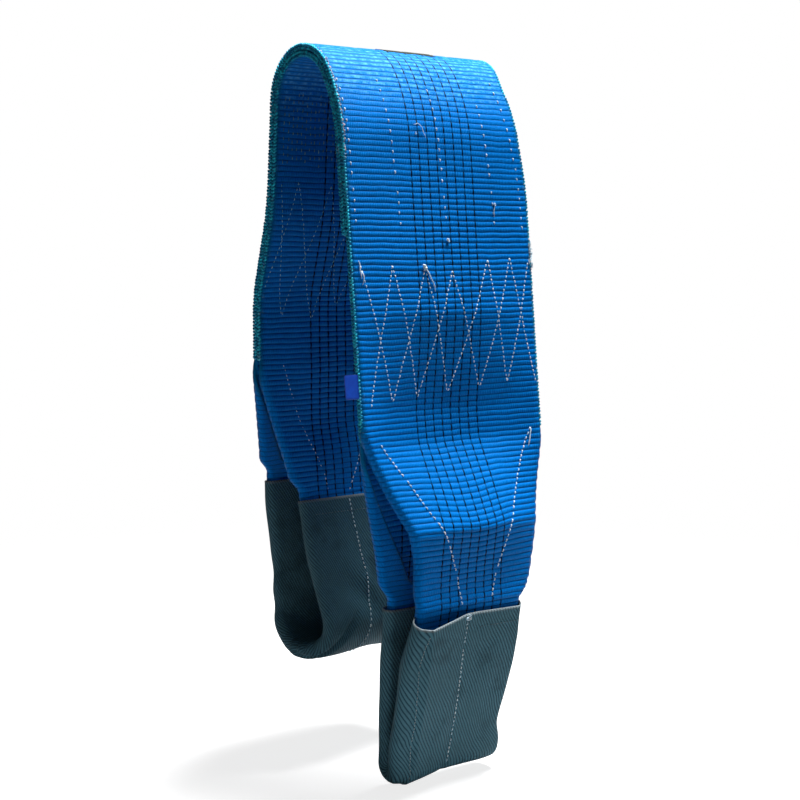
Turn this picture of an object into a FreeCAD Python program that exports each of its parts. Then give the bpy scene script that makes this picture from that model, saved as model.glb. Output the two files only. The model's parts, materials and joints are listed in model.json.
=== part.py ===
import FreeCAD, Part
import math
import os

# Flat web sling, two plies of polyester webbing with a reinforced soft eye at each end,
# hung over a round bar.  Millimetres.  +Z is up, X runs along the bar (across the web),
# the front leg hangs at -Y and the back leg at +Y.  The origin is the middle of the bar.

doc = FreeCAD.newDocument("flat_web_sling")
V = FreeCAD.Vector

SIZES = [
    ("web_width", 240.0),
    ("ply_thick", 6.8),
    ("ply_gap", 0.4),
    ("bar_radius", 43.0),
    # main run of the web, from the front throat up over the bar to the back throat
    ("front_straight", 298.6),
    ("shoulder_radius", 153.0),
    ("shoulder_turn", 28.0),
    ("crown_turn", 141.5),
    ("front_lean", 6.0),
    ("back_upper_straight", 84.2),
    ("flare_radius", 269.0),
    ("flare_turn", 12.5),
    ("back_middle_straight", 49.0),
    ("return_radius", 133.0),
    ("return_turn", 17.0),
    ("back_lower_straight", 44.7),
    # flexing lines, measured along the main run
    ("front_flex", 291.6),
    ("back_flex", 576.0),
    ("flex_clear", 2.7),
    ("throat_clear", 3.6),
    ("lap_end", 203.0),
    ("lap_shift", 4.0),
    # stitching
    ("thread_width", 1.8),
    ("thread_proud", 0.6),
    ("seat_gap", 0.05),
    ("row_spacing", 56.0),
    ("zigzag_height", 142.0),
    ("zigzag_pitch", 37.6),
    ("front_zigzag_start", 29.0),
    ("back_zigzag_start", 590.0),
    ("splice_start", 507.5),
    ("splice_length", 62.0),
    ("splice_row_pitch", 8.0),
    # eyes
    ("eye_width", 142.0),
    ("fold_thick", 4.4),
    ("fold_reach", 55.0),
    ("strand_clear", 3.5),
    ("strand_offset", 3.6),
    ("fold_start", 56.0),
    ("inner_throat_clear", 5.0),
    ("slide_clear", 3.0),
    ("sleeve_wall", 2.2),
    ("sleeve_width", 152.0),
    ("sleeve_mouth", 9.0),
    ("bight_clear", 1.7),
    ("free_edge_inset", 0.4),
    # pivots of the eyes in the YZ plane, and the radii of the loop's bottom on each side
    ("front_outer_mouth_y", -127.0),
    ("front_outer_mouth_z", -516.0),
    ("front_bottom_y", -77.0),
    ("front_bottom_z", -700.0),
    ("front_inner_mouth_y", -75.0),
    ("front_inner_mouth_z", -513.0),
    ("front_outer_bend", 11.6),
    ("front_inner_bend", 11.6),
    ("back_outer_mouth_y", 126.0),
    ("back_outer_mouth_z", -402.0),
    ("back_bottom_y", 75.0),
    ("back_bottom_z", -600.0),
    ("back_inner_mouth_y", 69.0),
    ("back_inner_mouth_z", -418.0),
    ("back_outer_bend", 48.0),
    ("back_inner_bend", 38.0),
    # label and the plain dark print on the crest
    ("label_reach", 17.0),
    ("label_height", 25.0),
    ("label_thick", 0.8),
    ("label_station", 39.0),
    ("label_gap", 0.6),
    ("label_below_face", 1.4),
    ("patch_width", 66.0),
    ("patch_length", 46.0),
    ("patch_thick", 0.3),
    ("patch_left", -25.0),
    ("patch_past_crest", 12.0),
]
sheet = doc.addObject("Spreadsheet::Sheet", "Sizes")
for row, (alias, value) in enumerate(SIZES, start=1):
    sheet.set("A%d" % row, alias)
    sheet.set("B%d" % row, repr(value))
    sheet.setAlias("B%d" % row, alias)
doc.recompute()

DEEP = 900.0  # lower than any part of the sling, for outlines drawn in the XZ plane
HIGH = 400.0


def size(alias):
    return float(sheet.get(alias))


class Path:
    """A run of straight and curved lengths in the YZ plane; left of travel is n > 0."""

    def __init__(self, start, heading, pieces, mirror=False):
        self.mirror = mirror
        self.pieces = []
        y, z = start
        angle = math.radians(heading)
        s = 0.0
        for piece in pieces:
            length = piece[1] if piece[0] == "line" else piece[1] * math.radians(abs(piece[2]))
            bend = 0.0 if piece[0] == "line" else math.copysign(1.0 / piece[1], piece[2])
            self.pieces.append((s, s + length, y, z, angle, bend))
            y, z, angle = self.step(y, z, angle, bend, length)
            s += length
        self.length = s
        self.end = (y, z)

    @staticmethod
    def step(y, z, angle, bend, length):
        if bend == 0.0:
            return y + length * math.cos(angle), z + length * math.sin(angle), angle
        turned = angle + bend * length
        y += (math.sin(turned) - math.sin(angle)) / bend
        z -= (math.cos(turned) - math.cos(angle)) / bend
        return y, z, turned

    def at(self, s, n=0.0):
        """The point at station s, n to the left, as (y, z)."""
        for lo, hi, y, z, angle, bend in self.pieces:
            if s <= hi or hi == self.length:
                y, z, angle = self.step(y, z, angle, bend, s - lo)
                y, z = y - n * math.sin(angle), z + n * math.cos(angle)
                return (-y if self.mirror else y), z

    def edge(self, s_from, s_to, n):
        """Lines and arcs of the offset edge between two stations."""
        made = []
        for lo, hi, _, _, _, bend in self.pieces:
            a, b = max(lo, s_from), min(hi, s_to)
            if hi == self.length:
                b = s_to
            if b - a < 1e-6:
                continue
            ends = [self.at(a, n), self.at((a + b) / 2, n), self.at(b, n)]
            first, middle, last = [V(p[0], p[1], 0) for p in ends]
            if bend == 0.0:
                made.append(Part.LineSegment(first, last))
            else:
                made.append(Part.Arc(first, middle, last))
        return made

    def outline(self, s_from, s_to, n_from, n_to):
        """Closed section of a layer lying between two offsets of the run."""
        caps = [
            Part.LineSegment(V(*self.at(s, n_from), 0), V(*self.at(s, n_to), 0))
            for s in (s_from, s_to)
        ]
        near, far = self.edge(s_from, s_to, n_from), self.edge(s_from, s_to, n_to)
        return near + [caps[1]] + far + [caps[0]]


def sketch_on(body, role, name, curves):
    sketch = body.newObject("Sketcher::SketchObject", name)
    plane = [f for f in body.Origin.OriginFeatures if f.Role == role][0]
    sketch.AttachmentSupport = [(plane, "")]
    sketch.MapMode = "FlatFace"
    sketch.addGeometry(curves, False)
    return sketch


nodes = []


def band(name, curves, width, trims=None):
    """A layer of web: its section in the YZ plane padded across the width, sides trimmed."""
    body = doc.addObject("PartDesign::Body", name)
    body.Label = name
    profile = sketch_on(body, "YZ_Plane", name + "_section", curves)
    doc.recompute()
    pad = body.newObject("PartDesign::Pad", name + "_pad")
    pad.Profile = profile
    pad.SideType = "Symmetric"
    pad.setExpression("Length", "<<Sizes>>." + width if "Sizes" not in width else width)
    doc.recompute()
    if trims:
        before = pad.Shape.Volume
        cutter = sketch_on(body, "XZ_Plane", name + "_trim", trims)
        doc.recompute()
        pocket = body.newObject("PartDesign::Pocket", name + "_sides")
        pocket.Profile = cutter
        pocket.SideType = "Symmetric"
        pocket.Length = 2 * DEEP
        doc.recompute()
        assert pocket.Shape.Volume < before
    nodes.append(body)
    return body


def loose_sketch(name, curves, turn):
    sketch = doc.addObject("Sketcher::SketchObject", name)
    sketch.Placement = FreeCAD.Placement(V(0, 0, 0), turn)
    sketch.addGeometry(curves, False)
    return sketch


TO_YZ = FreeCAD.Rotation(V(0, 1, 0), V(0, 0, 1), V(1, 0, 0), "ZXY")
TO_XZ = FreeCAD.Rotation(V(1, 0, 0), V(0, 0, 1), V(0, -1, 0), "ZXY")


def extrusion(name, sketch, length):
    solid = doc.addObject("Part::Extrusion", name)
    solid.Base = sketch
    solid.DirMode = "Normal"
    solid.Solid = True
    solid.Symmetric = True
    if isinstance(length, str):
        solid.setExpression("LengthFwd", "<<Sizes>>." + length)
    else:
        solid.LengthFwd = length
    return solid


def cut_layer(name, sections, outlines):
    """A thin layer that follows the web, kept only inside outlines drawn in the XZ plane."""
    section = loose_sketch(name + "_section", sections, TO_YZ)
    outline = loose_sketch(name + "_outline", outlines, TO_XZ)
    layer = extrusion(name + "_layer", section, "web_width")
    prism = extrusion(name + "_prism", outline, 2 * DEEP)
    common = doc.addObject("Part::MultiCommon", name)
    common.Shapes = [layer, prism]
    common.Label = name
    nodes.append(common)
    return common


def loop(points):
    """Closed outline of straight edges through (x, z) points."""
    vertices = [V(x, z, 0) for x, z in points]
    return [Part.LineSegment(a, b) for a, b in zip(vertices, vertices[1:] + vertices[:1])]


def block(x_low, x_high, z_low, z_high):
    """Outline of an upright rectangle."""
    return loop([(x_low, z_low), (x_high, z_low), (x_high, z_high), (x_low, z_high)])


def stripe(x_low, z_low, x_high, z_high, width):
    """Outline of a steep straight ribbon with horizontal ends."""
    half = width / 2
    low_end = [(x_low - half, z_low), (x_low + half, z_low)]
    high_end = [(x_high + half, z_high), (x_high - half, z_high)]
    return loop(low_end + high_end)


# ---------------------------------------------------------------- main run of the web
ply = size("ply_thick")
gap = size("ply_gap") / 2
half_band = ply + gap
centre_radius = size("bar_radius") + half_band
half_width = size("web_width") / 2

MAIN_PIECES = [
    ("line", size("front_straight")),
    ("arc", size("shoulder_radius"), -size("shoulder_turn")),
    ("arc", centre_radius, -size("crown_turn")),
    ("line", size("back_upper_straight")),
    ("arc", size("flare_radius"), size("flare_turn")),
    ("line", size("back_middle_straight")),
    ("arc", size("return_radius"), -size("return_turn")),
    ("line", size("back_lower_straight")),
]
heading = 90 - size("front_lean")
trial = Path((0, 0), heading, MAIN_PIECES)
arc_start, arc_heading = trial.pieces[2][2:4], trial.pieces[2][4]
centre_y = arc_start[0] + centre_radius * math.sin(arc_heading)
centre_z = arc_start[1] - centre_radius * math.cos(arc_heading)
main = Path((-centre_y, -centre_z), heading, MAIN_PIECES)

front_flex, back_flex = size("front_flex"), size("back_flex")
clear, throat = size("flex_clear"), size("throat_clear")
OUTER, INNER = (gap, half_band), (-half_band, -gap)

CROWN = (front_flex + clear, back_flex - clear)
FRONT_LEG = (throat, front_flex - clear)
BACK_LEG = (back_flex + clear, main.length - throat)

band("crown_outer_ply", main.outline(*CROWN, *OUTER), "web_width")
band("crown_inner_ply", main.outline(*CROWN, *INNER), "web_width")
band("front_leg_outer_ply", main.outline(*FRONT_LEG, *OUTER), "web_width")
lap = size("lap_end")
band("front_leg_inner_ply_upper", main.outline(lap + gap, FRONT_LEG[1], *INNER), "web_width")
shift = size("lap_shift")
low_trim = block(-half_width - 9, -half_width + shift, -HIGH, 0)
band("front_leg_inner_ply_lower", main.outline(FRONT_LEG[0], lap - gap, *INNER), "web_width", low_trim)
band("back_leg_outer_ply", main.outline(*BACK_LEG, *OUTER), "web_width")
band("back_leg_inner_ply", main.outline(*BACK_LEG, *INNER), "web_width")

# ---------------------------------------------------------------- stitching of the two plies
proud, seat, thread = size("thread_proud"), size("seat_gap"), size("thread_width")
OUT_FACE = (half_band + seat, half_band + seat + proud)
IN_FACE = (-half_band - seat - proud, -half_band - seat)


def both_faces(path, s_from, s_to, lift=0.0):
    outer_layer = path.outline(s_from, s_to, OUT_FACE[0] + lift, OUT_FACE[1] + lift)
    return outer_layer + path.outline(s_from, s_to, IN_FACE[0] - lift, IN_FACE[1] - lift)


def rows(z_low, z_high, positions):
    made = []
    for x in positions:
        made += stripe(x, z_low, x, z_high, thread)
    return made


ROW_X = [size("row_spacing") * k for k in (-2, -1, 0, 1, 2)]
splice_end = size("splice_start") + size("splice_length")
crown_rows = main.outline(CROWN[0] + 2, size("splice_start") - 4, *OUT_FACE)
cut_layer("crown_seam_rows", crown_rows, rows(-HIGH, HIGH, ROW_X))
zigzag_top = size("front_zigzag_start") + size("zigzag_height")
leg_rows = both_faces(main, zigzag_top + 12, FRONT_LEG[1] - 2)
cut_layer("front_leg_seam_rows", leg_rows, rows(-HIGH, HIGH, ROW_X))

pitch = size("splice_row_pitch")
count = int((size("web_width") - 20) / pitch) + 1
SPLICE_X = [pitch * (k - (count - 1) / 2) for k in range(count)]
splice_layers = both_faces(main, size("splice_start"), splice_end)
cut_layer("crown_splice_stitches", splice_layers, rows(-HIGH, HIGH, SPLICE_X))


def zigzag(z_low, z_high, first_high):
    """Outline of one zigzag seam across the web; its ribbon has the thread's width."""
    step = size("zigzag_pitch")
    rise = thread * math.hypot(step, z_high - z_low) / step / 2
    levels = [z_high if (k % 2 == 0) == first_high else z_low for k in range(7)]
    xs = [step * (k - 3) for k in range(7)]
    upper = [(x, z + rise) for x, z in zip(xs, levels)]
    lower = [(x, z - rise) for x, z in zip(xs, levels)]
    return loop(upper + lower[::-1])


for side in ("front", "back"):
    start = size(side + "_zigzag_start")
    stop = start + size("zigzag_height")
    z_ends = sorted((main.at(start)[1], main.at(stop)[1]))
    over = proud + seat
    first_layers = both_faces(main, start - 5, stop + 5)
    second_layers = both_faces(main, start - 5, stop + 5, over)
    cut_layer(side + "_leg_zigzag_first", first_layers, zigzag(*z_ends, True))
    cut_layer(side + "_leg_zigzag_second", second_layers, zigzag(*z_ends, False))

# ---------------------------------------------------------------- label and crest print
label_body = doc.addObject("PartDesign::Body", "label_tag")
label_body.Label = "label_tag"
low = size("label_station")
high = low + size("label_height")
face = half_band - size("label_below_face")
label_curves = main.outline(low, high, face, face + size("label_thick"))
label_section = sketch_on(label_body, "YZ_Plane", "label_section", label_curves)
doc.recompute()
label_pad = label_body.newObject("PartDesign::Pad", "label_pad")
label_pad.Profile = label_section
label_pad.SideType = "One side"
label_pad.Reversed = True
label_pad.setExpression("Length", "<<Sizes>>.label_reach")
label_root = V(-half_width - size("label_gap"), 0, 0)
label_body.Placement = FreeCAD.Placement(label_root, FreeCAD.Rotation())
doc.recompute()
nodes.append(label_body)

shoulder_length = size("shoulder_radius") * math.radians(size("shoulder_turn"))
turn_to_crest = heading - size("shoulder_turn")
crest = size("front_straight") + shoulder_length + centre_radius * math.radians(turn_to_crest)
patch_from = crest + size("patch_past_crest")
patch_to = patch_from + size("patch_length")
patch_face = half_band + seat
patch_layer = main.outline(patch_from, patch_to, patch_face, patch_face + size("patch_thick"))
patch_left = size("patch_left")
patch_right = patch_left + size("patch_width")
patch_outline = []
for left, right in ((patch_left, -thread - 0.2), (thread + 0.2, patch_right)):
    patch_outline += block(left, right, -HIGH, HIGH)
cut_layer("crown_print_patch", patch_layer, patch_outline)


# ---------------------------------------------------------------- eyes
SEAM_X = 4.0  # the sleeve's lengthwise seam lies just off the middle


def tangent_down(start, bottom, radius):
    """Heading and length of the straight that leaves start and runs into the bottom bend."""
    dy, dz = bottom[0] - start[0], bottom[1] + radius - start[1]
    reach = math.hypot(dy, dz)
    angle = math.atan2(dz, dy) - math.asin(radius / reach)
    return math.degrees(angle), math.sqrt(reach ** 2 - radius ** 2)


def straight(a, b, mirror):
    dy, dz = b[0] - a[0], b[1] - a[1]
    return Path(a, math.degrees(math.atan2(dz, dy)), [("line", math.hypot(dy, dz))], mirror)


def pivot(name, mirror):
    """A pivot of an eye; the back eye is drawn mirrored, so that both run towards -Y."""
    y, z = size(name + "_y"), size(name + "_z")
    return (-y if mirror else y), z


def eye(side, throat_at, mirror):
    """One eye: two strands from the throat and two sleeve halves meeting at the bottom."""
    outer_at = pivot(side + "_outer_mouth", mirror)
    bottom = pivot(side + "_bottom", mirror)
    inner_at = pivot(side + "_inner_mouth", mirror)
    bend_down, bend_up = size(side + "_outer_bend"), size(side + "_inner_bend")
    heading_down, run_down = tangent_down(outer_at, bottom, bend_down)
    mirrored = ((-inner_at[0]), inner_at[1])
    heading_back, run_up = tangent_down(mirrored, (-bottom[0], bottom[1]), bend_up)
    aside = size("strand_offset")
    strand_out = straight((throat_at[0] - aside, throat_at[1]), outer_at, mirror)
    strand_in = straight(inner_at, (throat_at[0] + aside, throat_at[1]), mirror)
    half_out = Path(outer_at, heading_down, [("line", run_down), ("arc", bend_down, -heading_down)], mirror)
    up = -heading_back
    half_in = Path(bottom, 0.0, [("arc", bend_up, up), ("line", run_up)], mirror)
    web = (-ply / 2, ply / 2)
    fold = (ply / 2 + 0.1, ply / 2 + 0.1 + size("fold_thick"))
    narrow = size("eye_width") / 2
    inset = size("free_edge_inset")
    free = narrow - size("fold_reach")
    start, finish = size("strand_clear"), size("strand_clear")
    # the inner strand is cut at mid length, where its two halves slide as the eye opens
    middle = strand_in.length / 2
    slide = size("slide_clear")
    high_end = strand_in.length - size("inner_throat_clear")
    fold_top = strand_in.length - size("fold_start")
    strands = (
        ("outer", strand_out, (throat, strand_out.length - finish), size("fold_start")),
        ("inner_lower", strand_in, (start, middle - slide), None),
        ("inner_upper", strand_in, (middle + slide, high_end), fold_top),
    )
    for label, path, (s_from, s_to), fold_limit in strands:
        z_top = max(path.at(0)[1], path.at(path.length)[1])
        z_low = min(path.at(0)[1], path.at(path.length)[1])
        sides = []
        for sign in (-1, 1):
            sides += loop([
                (sign * half_width, z_top), (sign * narrow, z_low),
                (sign * narrow, z_low - 60), (sign * (half_width + 30), z_low - 60),
                (sign * (half_width + 30), z_top)])
        strand_section = path.outline(s_from, s_to, *web)
        band("%s_eye_%s_strand" % (side, label), strand_section, "web_width", sides)
        flaps = []
        for sign in (-1, 1):
            flaps += loop([
                (sign * (half_width - inset), z_top), (sign * (narrow - inset), z_low),
                (sign * (narrow - inset), z_low - 30), (sign * free, z_low - 30),
                (sign * free, z_low)])
        f_from = fold_limit if label == "outer" else s_from
        f_to = fold_limit if label == "inner_upper" else s_to
        fold_section = path.outline(f_from, f_to, *fold)
        cut_layer("%s_eye_%s_folds" % (side, label), fold_section, flaps)
        seams = []
        for sign in (-1, 1):
            mouth_x, throat_x = sign * (free + 4), sign * (half_width - 10)
            seams += stripe(mouth_x, z_low - 2, throat_x, z_top, thread)
        outside = path.outline(s_from + 2, s_to - 2, -ply / 2 - seat - proud, -ply / 2 - seat)
        cut_layer("%s_eye_%s_taper_stitches" % (side, label), outside, seams)
    bight = size("bight_clear")
    mouth = size("sleeve_mouth")
    inner_face = fold[1] + 0.2
    wall = size("sleeve_wall")
    for label, path in (("outer", half_out), ("inner", half_in)):
        lower = label == "outer"
        s_from, s_to = (start, path.length - bight) if lower else (bight, path.length - start)
        s_mouth = (mouth, s_to) if lower else (s_from, path.length - mouth)
        name = "%s_bight_%s" % (side, label)
        band(name + "_web", path.outline(s_from, s_to, *web), "eye_width")
        strips = []
        for sign in (-1, 1):
            strips += block(*sorted((sign * (narrow - inset), sign * free)), -DEEP, 0)
        cut_layer(name + "_folds", path.outline(s_from, s_to, *fold), strips)
        sleeve_name = "%s_sleeve_%s" % (side, label)
        sleeve = doc.addObject("PartDesign::Body", sleeve_name)
        sleeve.Label = sleeve_name
        low_n, high_n = -ply / 2 - 0.2 - wall, inner_face + wall
        shell_curves = path.outline(*s_mouth, low_n, high_n)
        shell = sketch_on(sleeve, "YZ_Plane", sleeve_name + "_shell", shell_curves)
        doc.recompute()
        pad = sleeve.newObject("PartDesign::Pad", sleeve_name + "_pad")
        pad.Profile = shell
        pad.SideType = "Symmetric"
        pad.setExpression("Length", "<<Sizes>>.sleeve_width")
        doc.recompute()
        before = pad.Shape.Volume
        hollow_from = s_mouth[0] - (6 if lower else 0.6)
        hollow_to = s_mouth[1] + (0.6 if lower else 6)
        hollow = path.outline(hollow_from, hollow_to, -ply / 2 - 0.2, inner_face)
        inside = sketch_on(sleeve, "YZ_Plane", sleeve_name + "_inside", hollow)
        doc.recompute()
        pocket = sleeve.newObject("PartDesign::Pocket", sleeve_name + "_hollow")
        pocket.Profile = inside
        pocket.SideType = "Symmetric"
        pocket.setExpression("Length", "<<Sizes>>.eye_width + 2")
        doc.recompute()
        assert pocket.Shape.Volume < before
        nodes.append(sleeve)
        seam_layer = path.outline(s_mouth[0] + 2, s_mouth[1] - 2, low_n - seat - proud, low_n - seat)
        cut_layer(sleeve_name + "_seam", seam_layer, rows(-DEEP, 0, [SEAM_X]))
        far = path.length - mouth
        ring_at = (mouth + 8, mouth + 8 + thread) if lower else (far - 8 - thread, far - 8)
        hem = path.outline(*ring_at, low_n - seat - proud, low_n - seat)
        hem_end = size("sleeve_width") / 2 - 4
        hem_blocks = block(-hem_end, SEAM_X - 3, -DEEP, 0) + block(SEAM_X + 3, hem_end, -DEEP, 0)
        cut_layer(sleeve_name + "_hem_stitch", hem, hem_blocks)


back_throat = main.at(main.length)
eye("front", main.at(0.0), False)
eye("back", (-back_throat[0], back_throat[1]), True)

# ---------------------------------------------------------------- checks and files
doc.recompute()
os.makedirs("parts", exist_ok=True)
for item in doc.Objects:
    assert "Invalid" not in item.State and "Error" not in item.State, (item.Name, item.State)
for node in nodes:
    shape = node.Shape
    assert not shape.isNull() and shape.isValid() and shape.Volume > 0, node.Label
    shape.exportStep(os.path.join("parts", node.Label + ".step"))
print(len(nodes), "nodes")
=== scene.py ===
import json
import math

import bpy
import numpy as np
from mathutils import Matrix, Vector


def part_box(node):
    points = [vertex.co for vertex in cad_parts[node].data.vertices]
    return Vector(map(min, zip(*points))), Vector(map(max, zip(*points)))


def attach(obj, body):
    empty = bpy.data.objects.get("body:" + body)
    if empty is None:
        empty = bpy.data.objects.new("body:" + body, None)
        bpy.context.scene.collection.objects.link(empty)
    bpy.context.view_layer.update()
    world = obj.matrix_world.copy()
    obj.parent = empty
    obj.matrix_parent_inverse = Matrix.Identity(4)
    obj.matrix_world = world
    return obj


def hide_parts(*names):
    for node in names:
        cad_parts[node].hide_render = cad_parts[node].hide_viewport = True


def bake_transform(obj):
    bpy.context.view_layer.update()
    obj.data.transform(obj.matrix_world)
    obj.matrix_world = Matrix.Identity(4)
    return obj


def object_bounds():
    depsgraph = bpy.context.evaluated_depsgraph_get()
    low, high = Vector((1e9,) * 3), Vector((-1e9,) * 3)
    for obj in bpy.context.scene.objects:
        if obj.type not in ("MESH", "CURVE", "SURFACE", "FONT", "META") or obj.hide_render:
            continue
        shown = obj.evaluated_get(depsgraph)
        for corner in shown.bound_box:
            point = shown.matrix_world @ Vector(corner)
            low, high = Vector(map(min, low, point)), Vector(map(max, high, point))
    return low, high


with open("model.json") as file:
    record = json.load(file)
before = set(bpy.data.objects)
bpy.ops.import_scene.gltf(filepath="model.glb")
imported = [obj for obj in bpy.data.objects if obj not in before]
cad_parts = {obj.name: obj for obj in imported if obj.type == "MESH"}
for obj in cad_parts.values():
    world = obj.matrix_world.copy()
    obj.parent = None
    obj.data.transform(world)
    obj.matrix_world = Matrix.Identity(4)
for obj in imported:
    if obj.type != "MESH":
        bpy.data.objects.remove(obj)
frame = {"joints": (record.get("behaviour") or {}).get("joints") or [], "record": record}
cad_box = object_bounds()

# Flat web sling over a round bar: two plies of ribbed webbing, a folded soft eye in a twill
# wear sleeve at each end.  Lines are worked out in millimetres and meshes are in metres.
# Each side of the sling is traced downwards from the crest: t is the distance from the crest
# along a ply, q the place across the web, and "out" the normal that points away from the bar.

MM = 0.001
JOINTS = {j["name"]: j for j in frame["joints"]}
RNG = np.random.default_rng(11)


def joint_at(name):
    """A joint's place in the YZ plane, in millimetres."""
    return np.array(JOINTS[name]["pos_m"][1:]) / MM


# ------------------------------------------------------------------ camera
def make_camera():
    yaw, pitch = math.radians(38.0), math.radians(5.623)
    forward = Vector((math.sin(yaw) * math.cos(pitch), math.cos(yaw) * math.cos(pitch), -math.sin(pitch)))
    cam = bpy.data.objects.new("camera", bpy.data.cameras.new("camera"))
    cam.data.lens = 68.56
    cam.data.sensor_width = 36.0
    cam.location = (-1.0106, -1.3040, -0.1524)
    cam.rotation_mode = "QUATERNION"
    cam.rotation_quaternion = forward.to_track_quat("-Z", "Y")
    cam.data.clip_end = 100
    bpy.context.scene.collection.objects.link(cam)
    bpy.context.scene.camera = cam


make_camera()

# ------------------------------------------------------------------ sizes of the web
HALF_WIDTH = 120.0
PLY = 6.8
HALF_PLY = PLY / 2
PLY_OFFSET = 3.6
FOLD_RADIUS = 2.85
EDGE_ROUND = 3.4
BELLY_REACH = 114.0
INNER_SHIFT = 18.0
RIB_PITCH = 5.7
WORN_RIB_DEPTH = 0.42
FULL_RIB_DEPTH = 0.9
ROWS_PER_RIB = 7
BULGE_SEED = 3
BULGE_SAG = 0.85
BAR_RADIUS = frame["record"]["mounts"][0]["dims"]["r_mm"]
CROWN_RADIUS = BAR_RADIUS + 7.0


def smooth_step(x, low, high):
    t = np.clip((x - low) / (high - low), 0.0, 1.0)
    return t * t * (3 - 2 * t)


def hill(x, low, peak, high):
    """0 outside low..high, 1 at the peak, smooth between."""
    return np.minimum(smooth_step(x, low, peak), 1 - smooth_step(x, peak, high))


def wave_noise(x, y, seed):
    """Smooth repeatable noise about -1..1 from a few crossed sine waves."""
    r = np.random.default_rng(seed)
    total = 0.0
    for k in range(5):
        a, b, c = r.uniform(0.5, 1.6), r.uniform(0.5, 1.6), r.uniform(0, 6.28)
        total = total + np.sin(a * x + (b if k % 2 else -b) * y + c)
    return total / 3.0


# ------------------------------------------------------------------ lines down each side
class Line:
    """A smooth line in the YZ plane, sampled finely, with its outward normal."""

    STEP = 0.5

    def __init__(self, points):
        points = np.array(points, float)
        gaps = np.hypot(*np.diff(points, axis=0).T)
        keep = np.concatenate([[True], gaps > 1e-6])
        points = points[keep]
        along = np.concatenate([[0], np.cumsum(np.hypot(*np.diff(points, axis=0).T))])
        self.length = along[-1]
        n = int(self.length / self.STEP) + 1
        self.t = np.linspace(0, self.length, n)
        y, z = np.interp(self.t, along, points[:, 0]), np.interp(self.t, along, points[:, 1])
        self.points = np.stack([y, z], 1)
        self._normals()

    def _normals(self):
        tangent = np.gradient(self.points, axis=0)
        tangent /= np.linalg.norm(tangent, axis=1)[:, None]
        self.tangent = tangent
        self.out = np.stack([tangent[:, 1], -tangent[:, 0]], 1)

    def soften(self, reach):
        """Rounds the line's corners over about reach millimetres."""
        k = max(1, int(reach / self.STEP))
        kernel = np.hanning(2 * k + 3)[1:-1]
        kernel /= kernel.sum()
        ends = (2 * self.points[0] - self.points[k:0:-1], 2 * self.points[-1] - self.points[-2:-k - 2:-1])
        padded = np.concatenate([ends[0], self.points, ends[1]])
        smooth = np.stack([np.convolve(padded[:, i], kernel, "valid") for i in (0, 1)], 1)
        self.points = smooth[: len(self.points)]
        self._normals()
        return self

    def at(self, t):
        t = np.asarray(t, float)
        pick = lambda a: np.stack([np.interp(t, self.t, a[:, i]) for i in (0, 1)], -1)
        out = pick(self.out)
        out /= np.linalg.norm(out, axis=-1)[..., None]
        return pick(self.points), out

    def nearest(self, point):
        return self.t[np.argmin(np.hypot(*(self.points - point).T))]


def heading_line(start, heading, pieces, step=0.25):
    """Points of straight and evenly curved lengths, from (length, turn in degrees) pairs."""
    turns = np.concatenate([np.full(int(round(length / step)), turn / length * step) for length,
                            turn in pieces])
    angle = np.radians(heading + np.concatenate([[0], np.cumsum(turns)]))
    middle = (angle[1:] + angle[:-1]) / 2
    y = start[0] + np.concatenate([[0], np.cumsum(np.cos(middle) * step)])
    z = start[1] + np.concatenate([[0], np.cumsum(np.sin(middle) * step)])
    return np.stack([y, z], 1), angle


MAIN = [
    (298.6, 0.0), (153 * math.radians(28), -28.0), (CROWN_RADIUS * math.radians(141.5), -141.5),
    (84.2, 0.0), (269 * math.radians(12.5), 12.5), (49.0, 0.0), (133 * math.radians(17), -17.0), (44.7, 0.0),
]
main_points, main_angle = heading_line((0, 0), 84.0, MAIN)
crest_index = int(np.argmin(np.abs(main_angle)))
main_points = main_points - main_points[crest_index] + np.array([0.0, CROWN_RADIUS])
main_left = np.stack([-np.sin(main_angle), np.cos(main_angle)], 1)


def main_side(side, offset):
    """One side of the main run from the crest down to the throat, shifted outwards; the
    back side is mirrored, so that both sides run towards -Y."""
    points = main_points + main_left * offset
    if side == "front":
        return points[crest_index::-1]
    return points[crest_index:] * np.array([-1.0, 1.0])


def loop_line(top, bottom, bend, rising):
    """Straight from the sleeve's mouth into the round bottom of the eye, in mirrored Y."""
    dy, dz = bottom[0] - top[0], bottom[1] + bend - top[1]
    reach = math.hypot(dy, dz)
    side = -1 if rising else 1
    angle = math.atan2(dz, dy * side) - math.asin(bend / reach)
    run = math.sqrt(reach ** 2 - bend ** 2)
    tangent_point = np.array([top[0] + side * run * math.cos(angle), top[1] + run * math.sin(angle)])
    centre = np.array([bottom[0], bottom[1] + bend])
    start = math.atan2(tangent_point[1] - centre[1], tangent_point[0] - centre[0])
    if not rising and start > 0:
        start -= 2 * math.pi
    sweep = np.linspace(start, -math.pi / 2, 40)
    arc = centre + bend * np.stack([np.cos(sweep), np.sin(sweep)], 1)
    return np.concatenate([[top], arc])


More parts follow.
